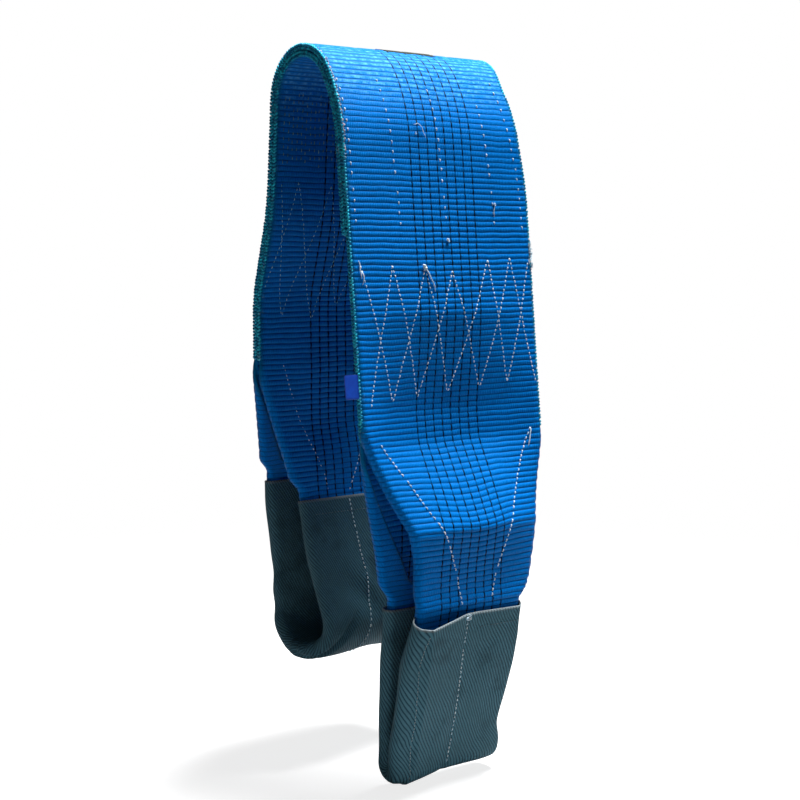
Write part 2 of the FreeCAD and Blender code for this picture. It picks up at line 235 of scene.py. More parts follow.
SIDES = {}
for side in ("front", "back"):
    flip = 1.0 if side == "front" else -1.0
    mirror = np.array([flip, 1.0])
    pivots = {
        "throat": joint_at(side + "_eye_swing") * mirror,
        "outer_mouth": joint_at(side + "_eye_opening") * mirror,
        "bottom": joint_at(side + "_bight_fold") * mirror,
        "inner_mouth": joint_at(side + "_inner_strand_flex") * mirror,
    }
    bends = (11.6, 11.6) if side == "front" else (48.0, 38.0)
    down = loop_line(pivots["outer_mouth"], pivots["bottom"], bends[0], False)
    up = loop_line(pivots["inner_mouth"], pivots["bottom"], bends[1], True)
    outer = np.concatenate([main_side(side, PLY_OFFSET), down])
    inner = np.concatenate([main_side(side, -PLY_OFFSET), up])
    bight = np.concatenate([down, up[::-1][1:]])
    SIDES[side] = {
        "flip": flip,
        "pivots": pivots,
        "outer": Line(outer).soften(9.0),
        "inner": Line(inner).soften(9.0),
        "bight": Line(bight).soften(2.0),
    }
    s = SIDES[side]
    s["throat_t"] = {k: s[k].nearest(pivots["throat"]) for k in ("outer", "inner")}
    s["mouth_t"] = {k: s[k].nearest(pivots[k + "_mouth"]) for k in ("outer", "inner")}


# ------------------------------------------------------------------ mesh helpers
class Shape:
    """Vertices, faces of any size, and per-vertex values, gathered before a mesh is made."""

    def __init__(self):
        self.vertices, self.faces, self.uv, self.values, self.hard = [], [], [], [], []
        self.count = 0

    def add(self, vertices, face_sets, slot=0, uv=None, values=None, hard=None):
        vertices = np.asarray(vertices, float).reshape(-1, 3)
        n = len(vertices)
        self.vertices.append(vertices)
        self.uv.append(np.zeros((n, 2)) if uv is None else np.asarray(uv, float).reshape(-1, 2))
        self.values.append({k: np.asarray(v, float).ravel() for k, v in (values or {}).items()})
        self.hard.append(np.zeros(n, bool) if hard is None else np.asarray(hard).ravel())
        for faces in face_sets:
            self.faces.append((faces + self.count, slot))
        self.count += n

    def build(self, name, materials):
        mesh = bpy.data.meshes.new(name)
        vertices = np.concatenate(self.vertices)
        loops = np.concatenate([f.ravel() for f, _ in self.faces]).astype(np.int32)
        sizes = np.concatenate([np.full(len(f), f.shape[1]) for f, _ in self.faces])
        slots = np.concatenate([np.full(len(f), slot) for f, slot in self.faces])
        mesh.vertices.add(len(vertices))
        mesh.vertices.foreach_set("co", vertices.astype(np.float32).ravel())
        mesh.loops.add(len(loops))
        mesh.loops.foreach_set("vertex_index", loops)
        mesh.polygons.add(len(sizes))
        starts = np.concatenate([[0], np.cumsum(sizes)[:-1]]).astype(np.int32)
        mesh.polygons.foreach_set("loop_start", starts)
        for m in materials:
            mesh.materials.append(m)
        mesh.polygons.foreach_set("material_index", slots.astype(np.int32))
        mesh.polygons.foreach_set("use_smooth", np.ones(len(sizes), bool))
        mesh.update(calc_edges=True)
        uv = np.concatenate(self.uv).astype(np.float32)
        mesh.uv_layers.new(name="Weave").data.foreach_set("uv", uv[loops].ravel())
        for key in sorted({k for v in self.values for k in v}):
            parts = [v.get(key, np.zeros(len(p))) for v, p in zip(self.values, self.vertices)]
            made = mesh.attributes.new(key, "FLOAT", "POINT")
            made.data.foreach_set("value", np.concatenate(parts).astype(np.float32))
        hard = np.concatenate(self.hard)
        edges = np.zeros(len(mesh.edges) * 2, np.int32)
        mesh.edges.foreach_get("vertices", edges)
        edges = edges.reshape(-1, 2)
        made = mesh.attributes.new("sharp_edge", "BOOLEAN", "EDGE")
        made.data.foreach_set("value", hard[edges[:, 0]] & hard[edges[:, 1]])
        obj = bpy.data.objects.new(name, mesh)
        bpy.context.scene.collection.objects.link(obj)
        return obj


def tube_faces(rings, around):
    i, j = np.meshgrid(np.arange(rings - 1), np.arange(around), indexing="ij")
    j2 = (j + 1) % around
    return np.stack([i * around + j, i * around + j2, (i + 1) * around + j2, (i + 1) * around + j],
                    -1).reshape(-1, 4)


def unit(v):
    return v / np.maximum(np.linalg.norm(v, axis=-1, keepdims=True), 1e-12)


def threads(shape, paths, radius, slot=0, around=6, taper=0.35):
    """Adds a closed round thread along each of many paths, an array (n, points, 3) in
    metres; radius in millimetres, a number or one for each path."""
    paths = np.asarray(paths, float)
    count, points = paths.shape[:2]
    along = unit(np.gradient(paths, axis=1))
    helper = np.zeros_like(along)
    helper[..., 0] = 1.0
    steep = np.abs(along[..., 0]) > 0.8
    helper[steep] = (0.0, 0.6, 0.8)
    u = unit(np.cross(along, helper))
    v = np.cross(along, u)
    share = np.linspace(0, 1, points)
    body = np.minimum(1.0, taper + (1 - taper) * np.minimum(share, 1 - share) * 6)
    r = np.broadcast_to(np.asarray(radius, float).reshape(-1, 1), (count, points)) * body * MM
    angle = 2 * math.pi * np.arange(around) / around
    ring = u[:, :, None] * np.cos(angle)[:, None] + v[:, :, None] * np.sin(angle)[:, None]
    vertices = paths[:, :, None] + ring * r[:, :, None, None]
    per = points * around
    base = (np.arange(count) * per)[:, None, None]
    quads = (tube_faces(points, around)[None] + base).reshape(-1, 4)
    cap0 = np.arange(around)[None] + base[:, 0]
    cap1 = (points - 1) * around + np.arange(around)[None, ::-1] + base[:, 0]
    shape.add(vertices, [quads, cap0[:, ::-1], cap1[:, ::-1]], slot)


def wrapped(top, low):
    """A closed loop round a band: across the top, then back along the underside."""
    return np.concatenate([top, low[:, -2:0:-1]], 1)


def band_faces(rings, around, flip):
    """Faces of a closed band of web, with both cut ends capped."""
    across = around // 2 + 1
    k = np.arange(1, across - 2)
    quads, triangles = [tube_faces(rings, around)[:, ::-1]], []
    for row, order in ((0, 1), (rings - 1, -1)):
        b = row * around
        quads.append(np.stack([b + k, b + around - k, b + around - k - 1, b + k + 1], -1)[:, ::-order])
        tips = np.array([[b, b + around - 1, b + 1], [b + across - 2, b + across, b + across - 1]])
        triangles.append(tips[:, ::-order])
    if flip < 0:
        return [f[:, ::-1] for f in quads + triangles]
    return quads + triangles


def cut_ends(rings, around):
    """Marks the first and the last ring, whose edges stay sharp."""
    ends = np.zeros((rings, around), bool)
    ends[0], ends[-1] = True, True
    return ends


def slab_faces(rows, cols):
    """Faces of a thin slab: its front grid, its back grid and the rim between them."""
    i, j = np.meshgrid(np.arange(rows - 1), np.arange(cols - 1), indexing="ij")
    a = i * cols + j
    grid = np.stack([a, a + 1, a + cols + 1, a + cols], -1).reshape(-1, 4)
    n = rows * cols
    loop = np.concatenate([
        np.arange(cols - 1), np.arange(rows - 1) * cols + cols - 1,
        n - 1 - np.arange(cols - 1), (rows - 1 - np.arange(rows - 1)) * cols])
    following = np.roll(loop, -1)
    rim = np.stack([loop, following, following + n, loop + n], -1)
    return [grid, (grid + n)[:, ::-1], rim[:, ::-1]]


def placed(line, flip, x, t, height):
    """Points at x across, t along a line and height out from it, in metres."""
    base, out = line.at(t)
    y = (base[..., 0] + out[..., 0] * height) * flip
    z = base[..., 1] + out[..., 1] * height
    return np.stack([x, y, z], -1) * MM


# ------------------------------------------------------------------ the web as a surface
def rib_wobble(q, t, seed):
    wobble = 0.07 * wave_noise(q / 19.0, t / 30.0, seed) + 0.045 * wave_noise(q / 6.0, t / 11.0, seed + 1)
    if seed == BULGE_SEED:
        wobble = wobble - BULGE_SAG * hill(t, 440, 515,
                                           592) * np.cos(np.clip((q - 8) / 62.0, -1, 1) * math.pi / 2) ** 2
    return wobble


def rib_height(phase):
    """Rounded rib with a narrow groove, 0 in the groove and 1 on top."""
    return np.abs(np.sin(math.pi * phase)) ** 0.7


def profile(r, points, reach=9.0):
    """Smooth curve through rough points (r, value), flat beyond both ends."""
    rs, values = np.array(points, float).T
    grid = np.arange(rs[0] - 4 * reach, rs[-1] + 4 * reach, 1.0)
    k = int(reach)
    kernel = np.hanning(2 * k + 3)
    padded = np.pad(np.interp(grid, rs, values), k + 1, mode="edge")
    return np.interp(r, grid, np.convolve(padded, kernel / kernel.sum(), "valid"))


# how far the middle of the web stands out, against the distance below the throat
FRONT_OUTER_BELLY = [(-122, 0), (-70, -9), (-24, -19), (10, -19), (52, -3), (88, 9.5), (101, 14), (114, 10),
                     (142, 2), (166, -3)]
FRONT_INNER_BELLY = [(-122, 0), (-70, -9), (-24, -19), (10, -19), (60, -10), (120, 0)]
BACK_OUTER_BELLY = [(-95, 0), (-10, -3), (10, -3), (45, 3), (80, 8), (120, 8)]
BACK_INNER_BELLY = [(-95, 0), (-10, -3), (10, -3), (40, 2), (75, 6), (110, 1), (130, 0)]

# how much further in the front eye's left fold lies than its right one
LEFT_INSET = [(-26, 0), (10, 8), (45, 15.5), (75, 20), (95, 24), (132, 23), (160, 16), (180, 14.5), (215, 15)]
RIGHT_INSET = [(95, 0), (130, -3), (160, -4), (174, -1), (183, 8), (215, 8)]

# the right edge draws in over the crown, on the front and on the back
CROWN_PULL = {"front": [(0, 4), (28, 9), (50, 13), (67, 14), (84, 11.5), (133, 6), (165, 1.5), (190, 0)],
              "back": [(0, 4), (60, 0)]}

ROW_X = [-113.0, -58.0, 4.0, 66.0, 112.0]


class Web:
    """One ply on one side, from the crest to inside the sleeve."""

    def __init__(self, side, ply):
        s = SIDES[side]
        self.side, self.ply, self.flip = side, ply, s["flip"]
        self.line = s[ply]
        self.throat, self.mouth = s["throat_t"][ply], s["mouth_t"][ply]
        self.fold_sign = -1.0 if ply == "outer" else 1.0
        self.seed = {"front": 3, "back": 23}[side] + (0 if ply == "outer" else 7)

    def fold_at(self, q, t):
        """Half the width that stays flat at t; beyond it the edge is folded over."""
        share = smooth_step(t, self.throat - 12, self.mouth + 4)
        linear = np.clip((t - self.throat + 4) / (self.mouth - self.throat), 0, 1)
        taper = 0.35 * share + 0.65 * linear
        if self.side == "back":
            narrow, pinch = (34.0, 10.5) if self.ply == "outer" else (40.0, 9.5)
            return 120.5 - narrow * taper - pinch * smooth_step(t, self.mouth - 18, self.mouth + 1)
        if self.ply == "inner":
            return 120.5 - 46.0 * taper - 12.0 * smooth_step(t, self.mouth - 22, self.mouth + 1)
        r = t - self.throat
        return 120.5 - 45.0 * taper - np.where(q < 0, profile(r, LEFT_INSET, 12.0),
                                               profile(r, RIGHT_INSET, 7.0))

    def belly(self, x, t):
        """How far the middle of the web stands out from its line, in millimetres."""
        r = t - self.throat
        across = 1 - np.clip(np.abs(x) / BELLY_REACH, 0, 1) ** 2.4
        if self.side == "front" and self.ply == "outer":
            depth = profile(r, FRONT_OUTER_BELLY)
        elif self.side == "front":
            depth = profile(r, FRONT_INNER_BELLY, 16.0)
        elif self.ply == "outer":
            depth = profile(r, BACK_OUTER_BELLY, 16.0)
        else:
            depth = profile(r, BACK_INNER_BELLY, 14.0)
        sway = 0.6 * wave_noise(x / 60.0, t / 48.0, 5 if self.side == "front" else 9)
        settled = 1 - 0.8 * smooth_step(t, self.mouth - 24, self.mouth - 4)
        return (depth + sway * settled) * across

    def section(self, q, t):
        """X, height along the outward normal, and the local normal, for q across the web."""
        w = self.fold_at(q, t)
        a, sign = np.abs(q), np.sign(q)
        rf = FOLD_RADIUS
        turn = np.clip((a - w) / rf, 0, math.pi)
        beyond = np.maximum(a - w - math.pi * rf, 0)
        x = np.minimum(a, w) + rf * np.sin(turn) - beyond
        n = self.fold_sign * rf * (1 - np.cos(turn))
        nx, nn = -self.fold_sign * np.sin(turn), np.cos(turn)
        half = HALF_PLY - 1.3 * turn / math.pi
        edge = np.clip((a - (HALF_WIDTH - EDGE_ROUND)) / EDGE_ROUND, 0, 1)
        half = half * np.sqrt(np.clip(1 - edge ** 2, 0, 1))
        return sign * x, n, sign * nx, nn, half

    def edge_of(self, t):
        """The left edge of the inner ply steps in below the lap on the front leg."""
        if self.side == "front" and self.ply == "inner":
            return 6.0 * smooth_step(t, self.throat - 204, self.throat - 201)
        return 0.0 * t

    def relief(self, q, t, face):
        hidden = (face > 0) == (self.ply == "inner")
        shown = smooth_step(t, self.throat - 3, self.throat + 6) if hidden else 1.0
        fade = 1 - smooth_step(np.abs(q), 117.0, 119.5)
        fade = fade * (1 - 0.82 * smooth_step(np.abs(q) - self.fold_at(q, t), -2.0, 3.0))
        pinch = 0.0
        for x in ROW_X:
            pinch = pinch + np.exp(-((q - x) / 3.2) ** 2)
        pinch = pinch * (1 - smooth_step(t, self.throat - 190, self.throat - 170))
        depth = WORN_RIB_DEPTH + (FULL_RIB_DEPTH - WORN_RIB_DEPTH) * smooth_step(t, 120, 260)
        height = depth * (rib_height(t / RIB_PITCH + rib_wobble(q, t, self.seed)) - 0.6)
        return (height * shown - 0.35 * pinch) * fade

    def point(self, q, t, face=1.0, lift=0.0, ribbed=True):
        """Point of the outer (face 1) or inner (face -1) surface, in metres."""
        q, t = np.broadcast_arrays(np.asarray(q, float), np.asarray(t, float))
        x, n, nx, nn, half = self.section(q, t)
        left = self.edge_of(t)
        x = np.where(x < -60, x + left * smooth_step(-x, 60, 118), x)
        x = np.where(x > 50, x - profile(t, CROWN_PULL[self.side], 6.0) * smooth_step(x, 50, 118), x)
        h = face * (half + (self.relief(q, t, face) if ribbed else 0.0) + lift)
        height = n + nn * h + self.belly(x, t)
        return placed(self.line, self.flip, x + nx * h, t, height)


def across_samples():
    edge = HALF_WIDTH - EDGE_ROUND * (1 - np.sin(np.linspace(0, math.pi / 2, 5)))
    inner = np.linspace(0, HALF_WIDTH - EDGE_ROUND, 40)[:-1]
    half = np.concatenate([inner, edge])
    return np.concatenate([-half[:0:-1], half])


ACROSS = across_samples()


def snap(t):
    return round(t / RIB_PITCH) * RIB_PITCH


def web_shape(web, t0, t1, thin=1.0, shape=None):
    """A closed length of web between two stations, with ribs on both faces."""
    shape = shape or Shape()
    rows = max(4, int(round((t1 - t0) / RIB_PITCH * ROWS_PER_RIB)))
    ts = np.linspace(t0, t1, rows + 1)
    q, t = np.meshgrid(ACROSS, ts)
    top = web.point(q, t, 1.0, lift=(thin - 1) * HALF_PLY)
    low = web.point(q, t, -1.0, lift=(thin - 1) * HALF_PLY)
    ring, qs, tt = wrapped(top, low), wrapped(q, q), wrapped(t, t)
    phase = tt / RIB_PITCH + rib_wobble(qs, tt, web.seed)
    shift = INNER_SHIFT if web.ply == "inner" else 0.0
    uv = np.stack([qs + shift, phase * RIB_PITCH], -1) / 1000.0
    values = {"rib": rib_height(phase), "edge": smooth_step(np.abs(qs), 115.0, 119.0)}
    rings, around = qs.shape
    shape.add(ring, band_faces(rings, around, web.flip), 0, uv, values, cut_ends(rings, around))
    return shape


def edge_chain(shape, web, t0, t1):
    """Two rows of slanted binding yarns along each edge of a ply."""
    pitch = 3.5
    stations = np.arange(math.ceil(t0 / pitch), math.ceil(t1 / pitch)) * pitch
    if not len(stations):
        return
    share = np.linspace(0, 1, 5)[None]
    for sign in (-1.0, 1.0):
        for top in (True, False):
            jitter = RNG.normal(0, 0.22, (len(stations), 3))
            t = stations[:, None] + pitch * (0.95 * share - 0.45 if top else 0.5 - 0.95 * share) + jitter[:,
                    :1]
            height = (3.3 - 3.2 * share if top else -0.1 - 3.2 * share) + 0.4 * jitter[:, 1:2]
            bulge = 0.55 * np.sin(math.pi * share) + 0.5 * jitter[:, 2:]
            t = np.clip(t, t0, t1)
            q = np.full_like(t, 120.0 * sign)
            middle = (web.point(q, t, 1.0, ribbed=False) + web.point(q, t, -1.0, ribbed=False)) / 2
            _, out = web.line.at(t)
            path = middle
            path[..., 0] += sign * (bulge - 0.5) * MM
            path[..., 1] += out[..., 0] * height * web.flip * MM
            path[..., 2] += out[..., 1] * height * MM
            threads(shape, path, 1.2, slot=1, around=6)


def stitch_line(web, ends, pitch, face=1.0, length=0.62, rise=0.95, sunk=0.0, loose=0.12):
    """Paths of the stitches along straight lines (q0, t0, q1, t1) on one face of a web."""
    share = np.linspace(0, 1, 6)
    arch = np.sin(math.pi * share) ** 0.6
    paths = []
    for q0, t0, q1, t1 in ends:
        reach = math.hypot(q1 - q0, t1 - t0)
        count = max(1, int(reach / pitch))
        for k in range(count):
            a = (k + 0.5 - length / 2 + RNG.normal(0, 0.04)) * pitch / reach
            b = a + length * pitch / reach * RNG.uniform(0.82, 1.08)
            f = a + (b - a) * share
            q = q0 + (q1 - q0) * f + RNG.normal(0, loose * 1.6)
            t = t0 + (t1 - t0) * f
            lift = -0.55 + (rise + 0.55) * arch - sunk * RNG.uniform(0.0, 1.0) ** 0.7
            paths.append(web.point(q, t, face, lift=lift, ribbed=False))
    return np.array(paths)


# ------------------------------------------------------------------ materials
class Nodes:
    """Short way to write a material's node tree."""

    def __init__(self, name):
        self.material = bpy.data.materials.new(name)
        self.material.use_nodes = True
        self.tree = self.material.node_tree
        self.shader = self.tree.nodes["Principled BSDF"]

    def add(self, kind, **settings):
        node = self.tree.nodes.new(kind)
        for key, value in settings.items():
            setattr(node, key, value)
        return node

    def link(self, a, b):
        self.tree.links.new(a, b)

    def put(self, socket, value):
        if isinstance(value, bpy.types.NodeSocket):
            self.link(value, socket)
        else:
            socket.default_value = value

    def math(self, operation, a, b=None, c=None, clamp=False):
        node = self.add("ShaderNodeMath", operation=operation, use_clamp=clamp)
        for socket, value in zip(node.inputs, (a, b, c)):
            if value is not None:
                self.put(socket, value)
        return node.outputs[0]

    def mix(self, share, a, b):
        node = self.add("ShaderNodeMix", data_type="RGBA")
        self.put(node.inputs[0], share)
        self.put(node.inputs[6], a if isinstance(a, bpy.types.NodeSocket) else (*a, 1))
        self.put(node.inputs[7], b if isinstance(b, bpy.types.NodeSocket) else (*b, 1))
        return node.outputs[2]

    def ramp(self, value, low, high, start=0.0, end=1.0):
        node = self.add("ShaderNodeMapRange", clamp=True, interpolation_type="SMOOTHSTEP")
        self.put(node.inputs[0], value)
        for k, v in ((1, low), (2, high), (3, start), (4, end)):
            node.inputs[k].default_value = v
        return node.outputs[0]

    def noise(self, vector, scale, detail=2.0, rough=0.5):
        node = self.add("ShaderNodeTexNoise")
        self.put(node.inputs["Vector"], vector)
        node.inputs["Scale"].default_value = scale
        node.inputs["Detail"].default_value = detail
        node.inputs["Roughness"].default_value = rough
        return node.outputs[0]

    def weave(self):
        """u and v of the cloth in millimetres."""
        uv = self.add("ShaderNodeUVMap", uv_map="Weave")
        scaled = self.add("ShaderNodeVectorMath", operation="SCALE")
        self.link(uv.outputs[0], scaled.inputs[0])
        scaled.inputs[3].default_value = 1000.0
        split = self.add("ShaderNodeSeparateXYZ")
        self.link(scaled.outputs[0], split.inputs[0])
        return scaled.outputs[0], split.outputs[0], split.outputs[1]

    def attribute(self, name):
        return self.add("ShaderNodeAttribute", attribute_name=name).outputs["Fac"]

    def bump(self, height, distance, strength=1.0, normal=None):
        node = self.add("ShaderNodeBump")
        node.inputs["Strength"].default_value = strength
        node.inputs["Distance"].default_value = distance
        self.put(node.inputs["Height"], height)
        if normal is not None:
            self.link(normal, node.inputs["Normal"])
        return node.outputs[0]


def webbing_material():
    m = Nodes("webbing")
    vector, u, v = m.weave()
    rib = m.attribute("rib")
    row = m.math("FLOOR", m.math("DIVIDE", v, RIB_PITCH))
    odd = m.math("MULTIPLY", m.math("FRACT", m.math("MULTIPLY", row, 0.5)), 2.0)
    # warp yarns, offset by half a yarn from one rib to the next
    bend = m.math("MULTIPLY", m.noise(vector, 0.35, 2.0, 0.5), 1.3)
    yarn = m.math("ADD", m.math("DIVIDE", m.math("ADD", u, bend), 2.2), m.math("MULTIPLY", odd, 0.5))
    yarn_wave = m.math("ABSOLUTE", m.math("SINE", m.math("MULTIPLY", yarn, math.pi)))
    fuzz = m.noise(vector, 1.2, 3.0, 0.7)
    streak_map = m.add("ShaderNodeMapping")
    m.link(vector, streak_map.inputs[0])
    streak_map.inputs["Scale"].default_value = (0.6, 0.12, 1.0)
    streak = m.noise(streak_map.outputs[0], 1.0, 3.0, 0.6)
    broad = m.noise(vector, 0.02, 3.0, 0.55)
    # painted shade: the grooves between the ribs get a much darker colour than the rib tops
    colour = m.mix(m.ramp(rib, 0.1, 0.72), (0.0, 0.048, 0.185), (0.0, 0.205, 0.72))
    colour = m.mix(m.math("MULTIPLY", m.ramp(yarn_wave, 0.0, 0.6, 1.0, 0.0), 0.3), colour, (0.0, 0.070, 0.26))
    colour = m.mix(m.math("MULTIPLY", m.ramp(fuzz, 0.45, 0.75), 0.4), colour, (0.004, 0.27, 0.85))
    colour = m.mix(m.math("MULTIPLY", m.ramp(streak, 0.35, 0.65), 0.3), colour, (0.0, 0.085, 0.36))
    colour = m.mix(m.math("MULTIPLY", m.ramp(broad, 0.4, 0.7), 0.25), colour, (0.0, 0.115, 0.42))
    # painted highlight: paler rib tops just below the crest, where the key light's sheen falls
    band = m.math("MULTIPLY", m.ramp(v, 8.0, 26.0), m.ramp(v, 58.0, 104.0, 1.0, 0.0))
    crest_highlight_mask = m.math("MULTIPLY", m.ramp(rib, 0.62, 0.95), m.ramp(m.noise(vector, 0.16, 4.0, 0.7), 0.42, 0.66))
    colour = m.mix(m.math("MULTIPLY", m.math("MULTIPLY", band, crest_highlight_mask), 0.62), colour, (0.16, 0.58, 0.95))
    # eight black warp lines, each floating over about two ribs in three
    step = m.math("DIVIDE", m.math("ADD", u, 37.0), 11.6)
    number = m.math("ROUND", step)
    away = m.math("MULTIPLY", m.math("ABSOLUTE", m.math("SUBTRACT", step, number)), 11.6)
    inside = m.math("MULTIPLY", m.math("GREATER_THAN", number, -0.5), m.math("LESS_THAN", number, 7.5))
    turn = m.math("FRACT", m.math("MULTIPLY", m.math("ADD", m.math("DIVIDE", v, RIB_PITCH), number), 0.5))
    shows = m.ramp(m.math("ABSOLUTE", m.math("SUBTRACT", turn, 0.25)), 0.28, 0.40, 1.0, 0.45)
    line = m.math("MULTIPLY", m.math("MULTIPLY", m.ramp(away, 0.62, 1.15, 1.0, 0.0), inside), shows)
    colour = m.mix(line, colour, (0.0005, 0.002, 0.008))
    # teal, rubbed edge yarns
    edge = m.attribute("edge")
    colour = m.mix(m.math("MULTIPLY", edge, 0.8), colour, (0.0, 0.13, 0.30))
    rub = m.math("MULTIPLY", edge, m.ramp(m.noise(vector, 0.11, 4.0, 0.75), 0.56, 0.70))
    colour = m.mix(m.math("MULTIPLY", rub, 0.5), colour, (0.30, 0.42, 0.52))
    m.link(colour, m.shader.inputs["Base Color"])
    m.shader.inputs["Roughness"].default_value = 0.4
    m.shader.inputs["Specular IOR Level"].default_value = 0.45
    m.shader.inputs["Specular Tint"].default_value = (0.0, 0.58, 1.0, 1.0)
    m.shader.inputs["IOR"].default_value = 1.3
    height = m.math("ADD", m.math("MULTIPLY", yarn_wave, m.ramp(rib, 0.0, 0.6, 0.0, 0.55)),
                    m.math("MULTIPLY", fuzz, 1.1))
    m.link(m.bump(height, 0.0005, 0.9), m.shader.inputs["Normal"])
    return m.material


def chain_material():
    m = Nodes("edge_yarn")
    coord = m.add("ShaderNodeTexCoord").outputs["Object"]
    colour = m.mix(m.ramp(m.noise(coord, 260.0, 3.0, 0.7), 0.35, 0.7), (0.0, 0.17, 0.42), (0.03, 0.80, 1.0))
    wear = m.ramp(m.noise(coord, 55.0, 4.0, 0.75), 0.60, 0.72)
    colour = m.mix(m.math("MULTIPLY", wear, 0.5), colour, (0.30, 0.42, 0.55))
    m.link(colour, m.shader.inputs["Base Color"])
    m.shader.inputs["Roughness"].default_value = 0.5
    m.shader.inputs["Specular Tint"].default_value = (0.45, 0.85, 1.0, 1.0)
    m.link(m.bump(m.noise(coord, 900.0, 2.0, 0.6), 0.0003, 0.6), m.shader.inputs["Normal"])
    return m.material


def thread_material(name, bright, dark):
    m = Nodes(name)
    coord = m.add("ShaderNodeTexCoord").outputs["Object"]
    colour = m.mix(m.ramp(m.noise(coord, 130.0, 3.0, 0.7), 0.35, 0.68), dark, bright)
    m.link(colour, m.shader.inputs["Base Color"])
    m.shader.inputs["Roughness"].default_value = 0.5
    m.link(m.bump(m.noise(coord, 1500.0, 1.0, 0.5), 0.0002, 0.5), m.shader.inputs["Normal"])
    return m.material


def twill_material(name, pitch, shade):
    """Twill with cords of the given pitch; shade scales how light the cloth is, and the back sleeve's lower
    shade is painted shade.
    """
    tone = lambda red, green, blue: (red * shade * 0.72, green * shade, blue * shade * 1.04)
    m = Nodes(name)
    vector, u, v = m.weave()
    drift = m.math("MULTIPLY", m.noise(vector, 0.04, 2.0, 0.5), 4.0)
    slant = m.math("ADD", m.math("MULTIPLY", u, 0.86), m.math("MULTIPLY", v, -0.50))
    slant = m.math("ADD", slant, drift)
    cord = m.math("ABSOLUTE", m.math("SINE", m.math("MULTIPLY", slant, math.pi / pitch)))
    pick = m.math("ABSOLUTE", m.math("SINE", m.math("MULTIPLY", v, math.pi / 1.6)))
    fuzz = m.noise(vector, 0.9, 3.0, 0.7)
    broad = m.noise(vector, 0.022, 3.0, 0.6)
    colour = m.mix(m.ramp(cord, 0.1, 0.85), tone(0.034, 0.075, 0.105), tone(0.150, 0.270, 0.340))
    colour = m.mix(m.math("MULTIPLY", m.ramp(pick, 0.0, 0.6, 1.0, 0.0), 0.12), colour,
                   tone(0.030, 0.062, 0.085))
    colour = m.mix(m.math("MULTIPLY", m.ramp(fuzz, 0.5, 0.8), 0.4), colour, tone(0.140, 0.245, 0.31))
    colour = m.mix(m.math("MULTIPLY", m.ramp(broad, 0.48, 0.72), 0.5), colour, tone(0.115, 0.20, 0.245))
    colour = m.mix(m.math("MULTIPLY", m.ramp(broad, 0.28, 0.5, 1.0, 0.0), 0.5), colour,
                   tone(0.030, 0.062, 0.082))
    colour = m.mix(m.math("MULTIPLY", m.attribute("rim"), 0.75), colour, (0.33, 0.37, 0.38))
    m.link(colour, m.shader.inputs["Base Color"])
    m.shader.inputs["Roughness"].default_value = 0.6
    m.shader.inputs["Specular IOR Level"].default_value = 0.3
    m.shader.inputs["IOR"].default_value = 1.35
    m.shader.inputs["Specular Tint"].default_value = (0.6, 0.85, 1.0, 1.0)
    height = m.math("ADD", cord, m.math("MULTIPLY", pick, 0.12))
    m.link(m.bump(height, 0.0008, 0.85), m.shader.inputs["Normal"])
    return m.material


def plain_material(name, colour, rough, speckle, bump_scale):
    m = Nodes(name)
    coord = m.add("ShaderNodeTexCoord").outputs["Object"]
    shade = m.mix(m.ramp(m.noise(coord, 90.0, 4.0, 0.65), 0.4, 0.7), colour, speckle)
    m.link(shade, m.shader.inputs["Base Color"])
    m.shader.inputs["Roughness"].default_value = rough
    m.link(m.bump(m.noise(coord, bump_scale, 2.0, 0.5), 0.0002, 0.4), m.shader.inputs["Normal"])
    return m.material


WEBBING = webbing_material()
CHAIN = chain_material()
THREAD = thread_material("thread", (0.84, 0.93, 0.97), (0.42, 0.62, 0.76))
# a darker, bluer copy of the white thread: painted shade for stitching inside the crown
SHADED_THREAD = thread_material("thread_painted_shade", (0.16, 0.36, 0.44), (0.04, 0.15, 0.22))
DARK_THREAD = thread_material("thread_dark", (0.17, 0.24, 0.28), (0.06, 0.10, 0.13))
# a dimmer, teal-tinted copy of the white thread: painted shade for the back leg's zigzags
SHADED_ZIGZAG_THREAD = thread_material("thread_painted_shade_teal", (0.38, 0.68, 0.80), (0.08, 0.34, 0.48))
GREY_THREAD = thread_material("thread_grey", (0.36, 0.42, 0.44), (0.14, 0.20, 0.23))
TWILL = twill_material("sleeve_twill", 3.3, 0.70)
# a darker copy of the sleeve twill for the back eye: painted shade from the front eye
SHADED_BACK_TWILL = twill_material("sleeve_twill_painted_shade", 2.8, 0.60)
LABEL = plain_material("label_plastic", (0.0, 0.055, 0.46), 0.5, (0.0, 0.07, 0.54), 300.0)
PRINT = plain_material("dark_print", (0.004, 0.010, 0.007), 0.9, (0.016, 0.026, 0.018), 700.0)

# ------------------------------------------------------------------ web pieces
WEBS = {(side, ply): Web(side, ply) for side in ("front", "back") for ply in ("outer", "inner")}
MID_LEG = 150.0
FLEX = {side: joint_at(side + "_leg_swing") * np.array([SIDES[side]["flip"], 1.0]) for side in ("front",
        "back")}
SLEEVE_DEPTH = 26.0
TONGUE = 5.0


def point3(side, yz, dx=0.0):
    return (dx, yz[0] * SIDES[side]["flip"] * MM, yz[1] * MM)


def on_line(side, ply, t):
    return point3(side, SIDES[side][ply].at(t)[0])


FLEX_REACH = 25.0


def blend_main(obj, side):
    """Bakes the piece's transform into its mesh; the points either side of the leg's bend at the crown's edge
    are looked up but not used.
    """
    t = SIDES[side]["outer"].nearest(FLEX[side])
    on_line(side, "outer", t - FLEX_REACH)
    on_line(side, "outer", t + FLEX_REACH)
    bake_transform(obj)


def blend_throat(obj, side):
    t = SIDES[side]["throat_t"]["outer"]
    on_line(side, "outer", t - 14)
    on_line(side, "outer", t + 10)
    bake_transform(obj)


def blend_outer_eye(obj, side):
    t = SIDES[side]["mouth_t"]["outer"]
    on_line(side, "outer", t - 38)
    on_line(side, "outer", t + 7)
    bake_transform(obj)


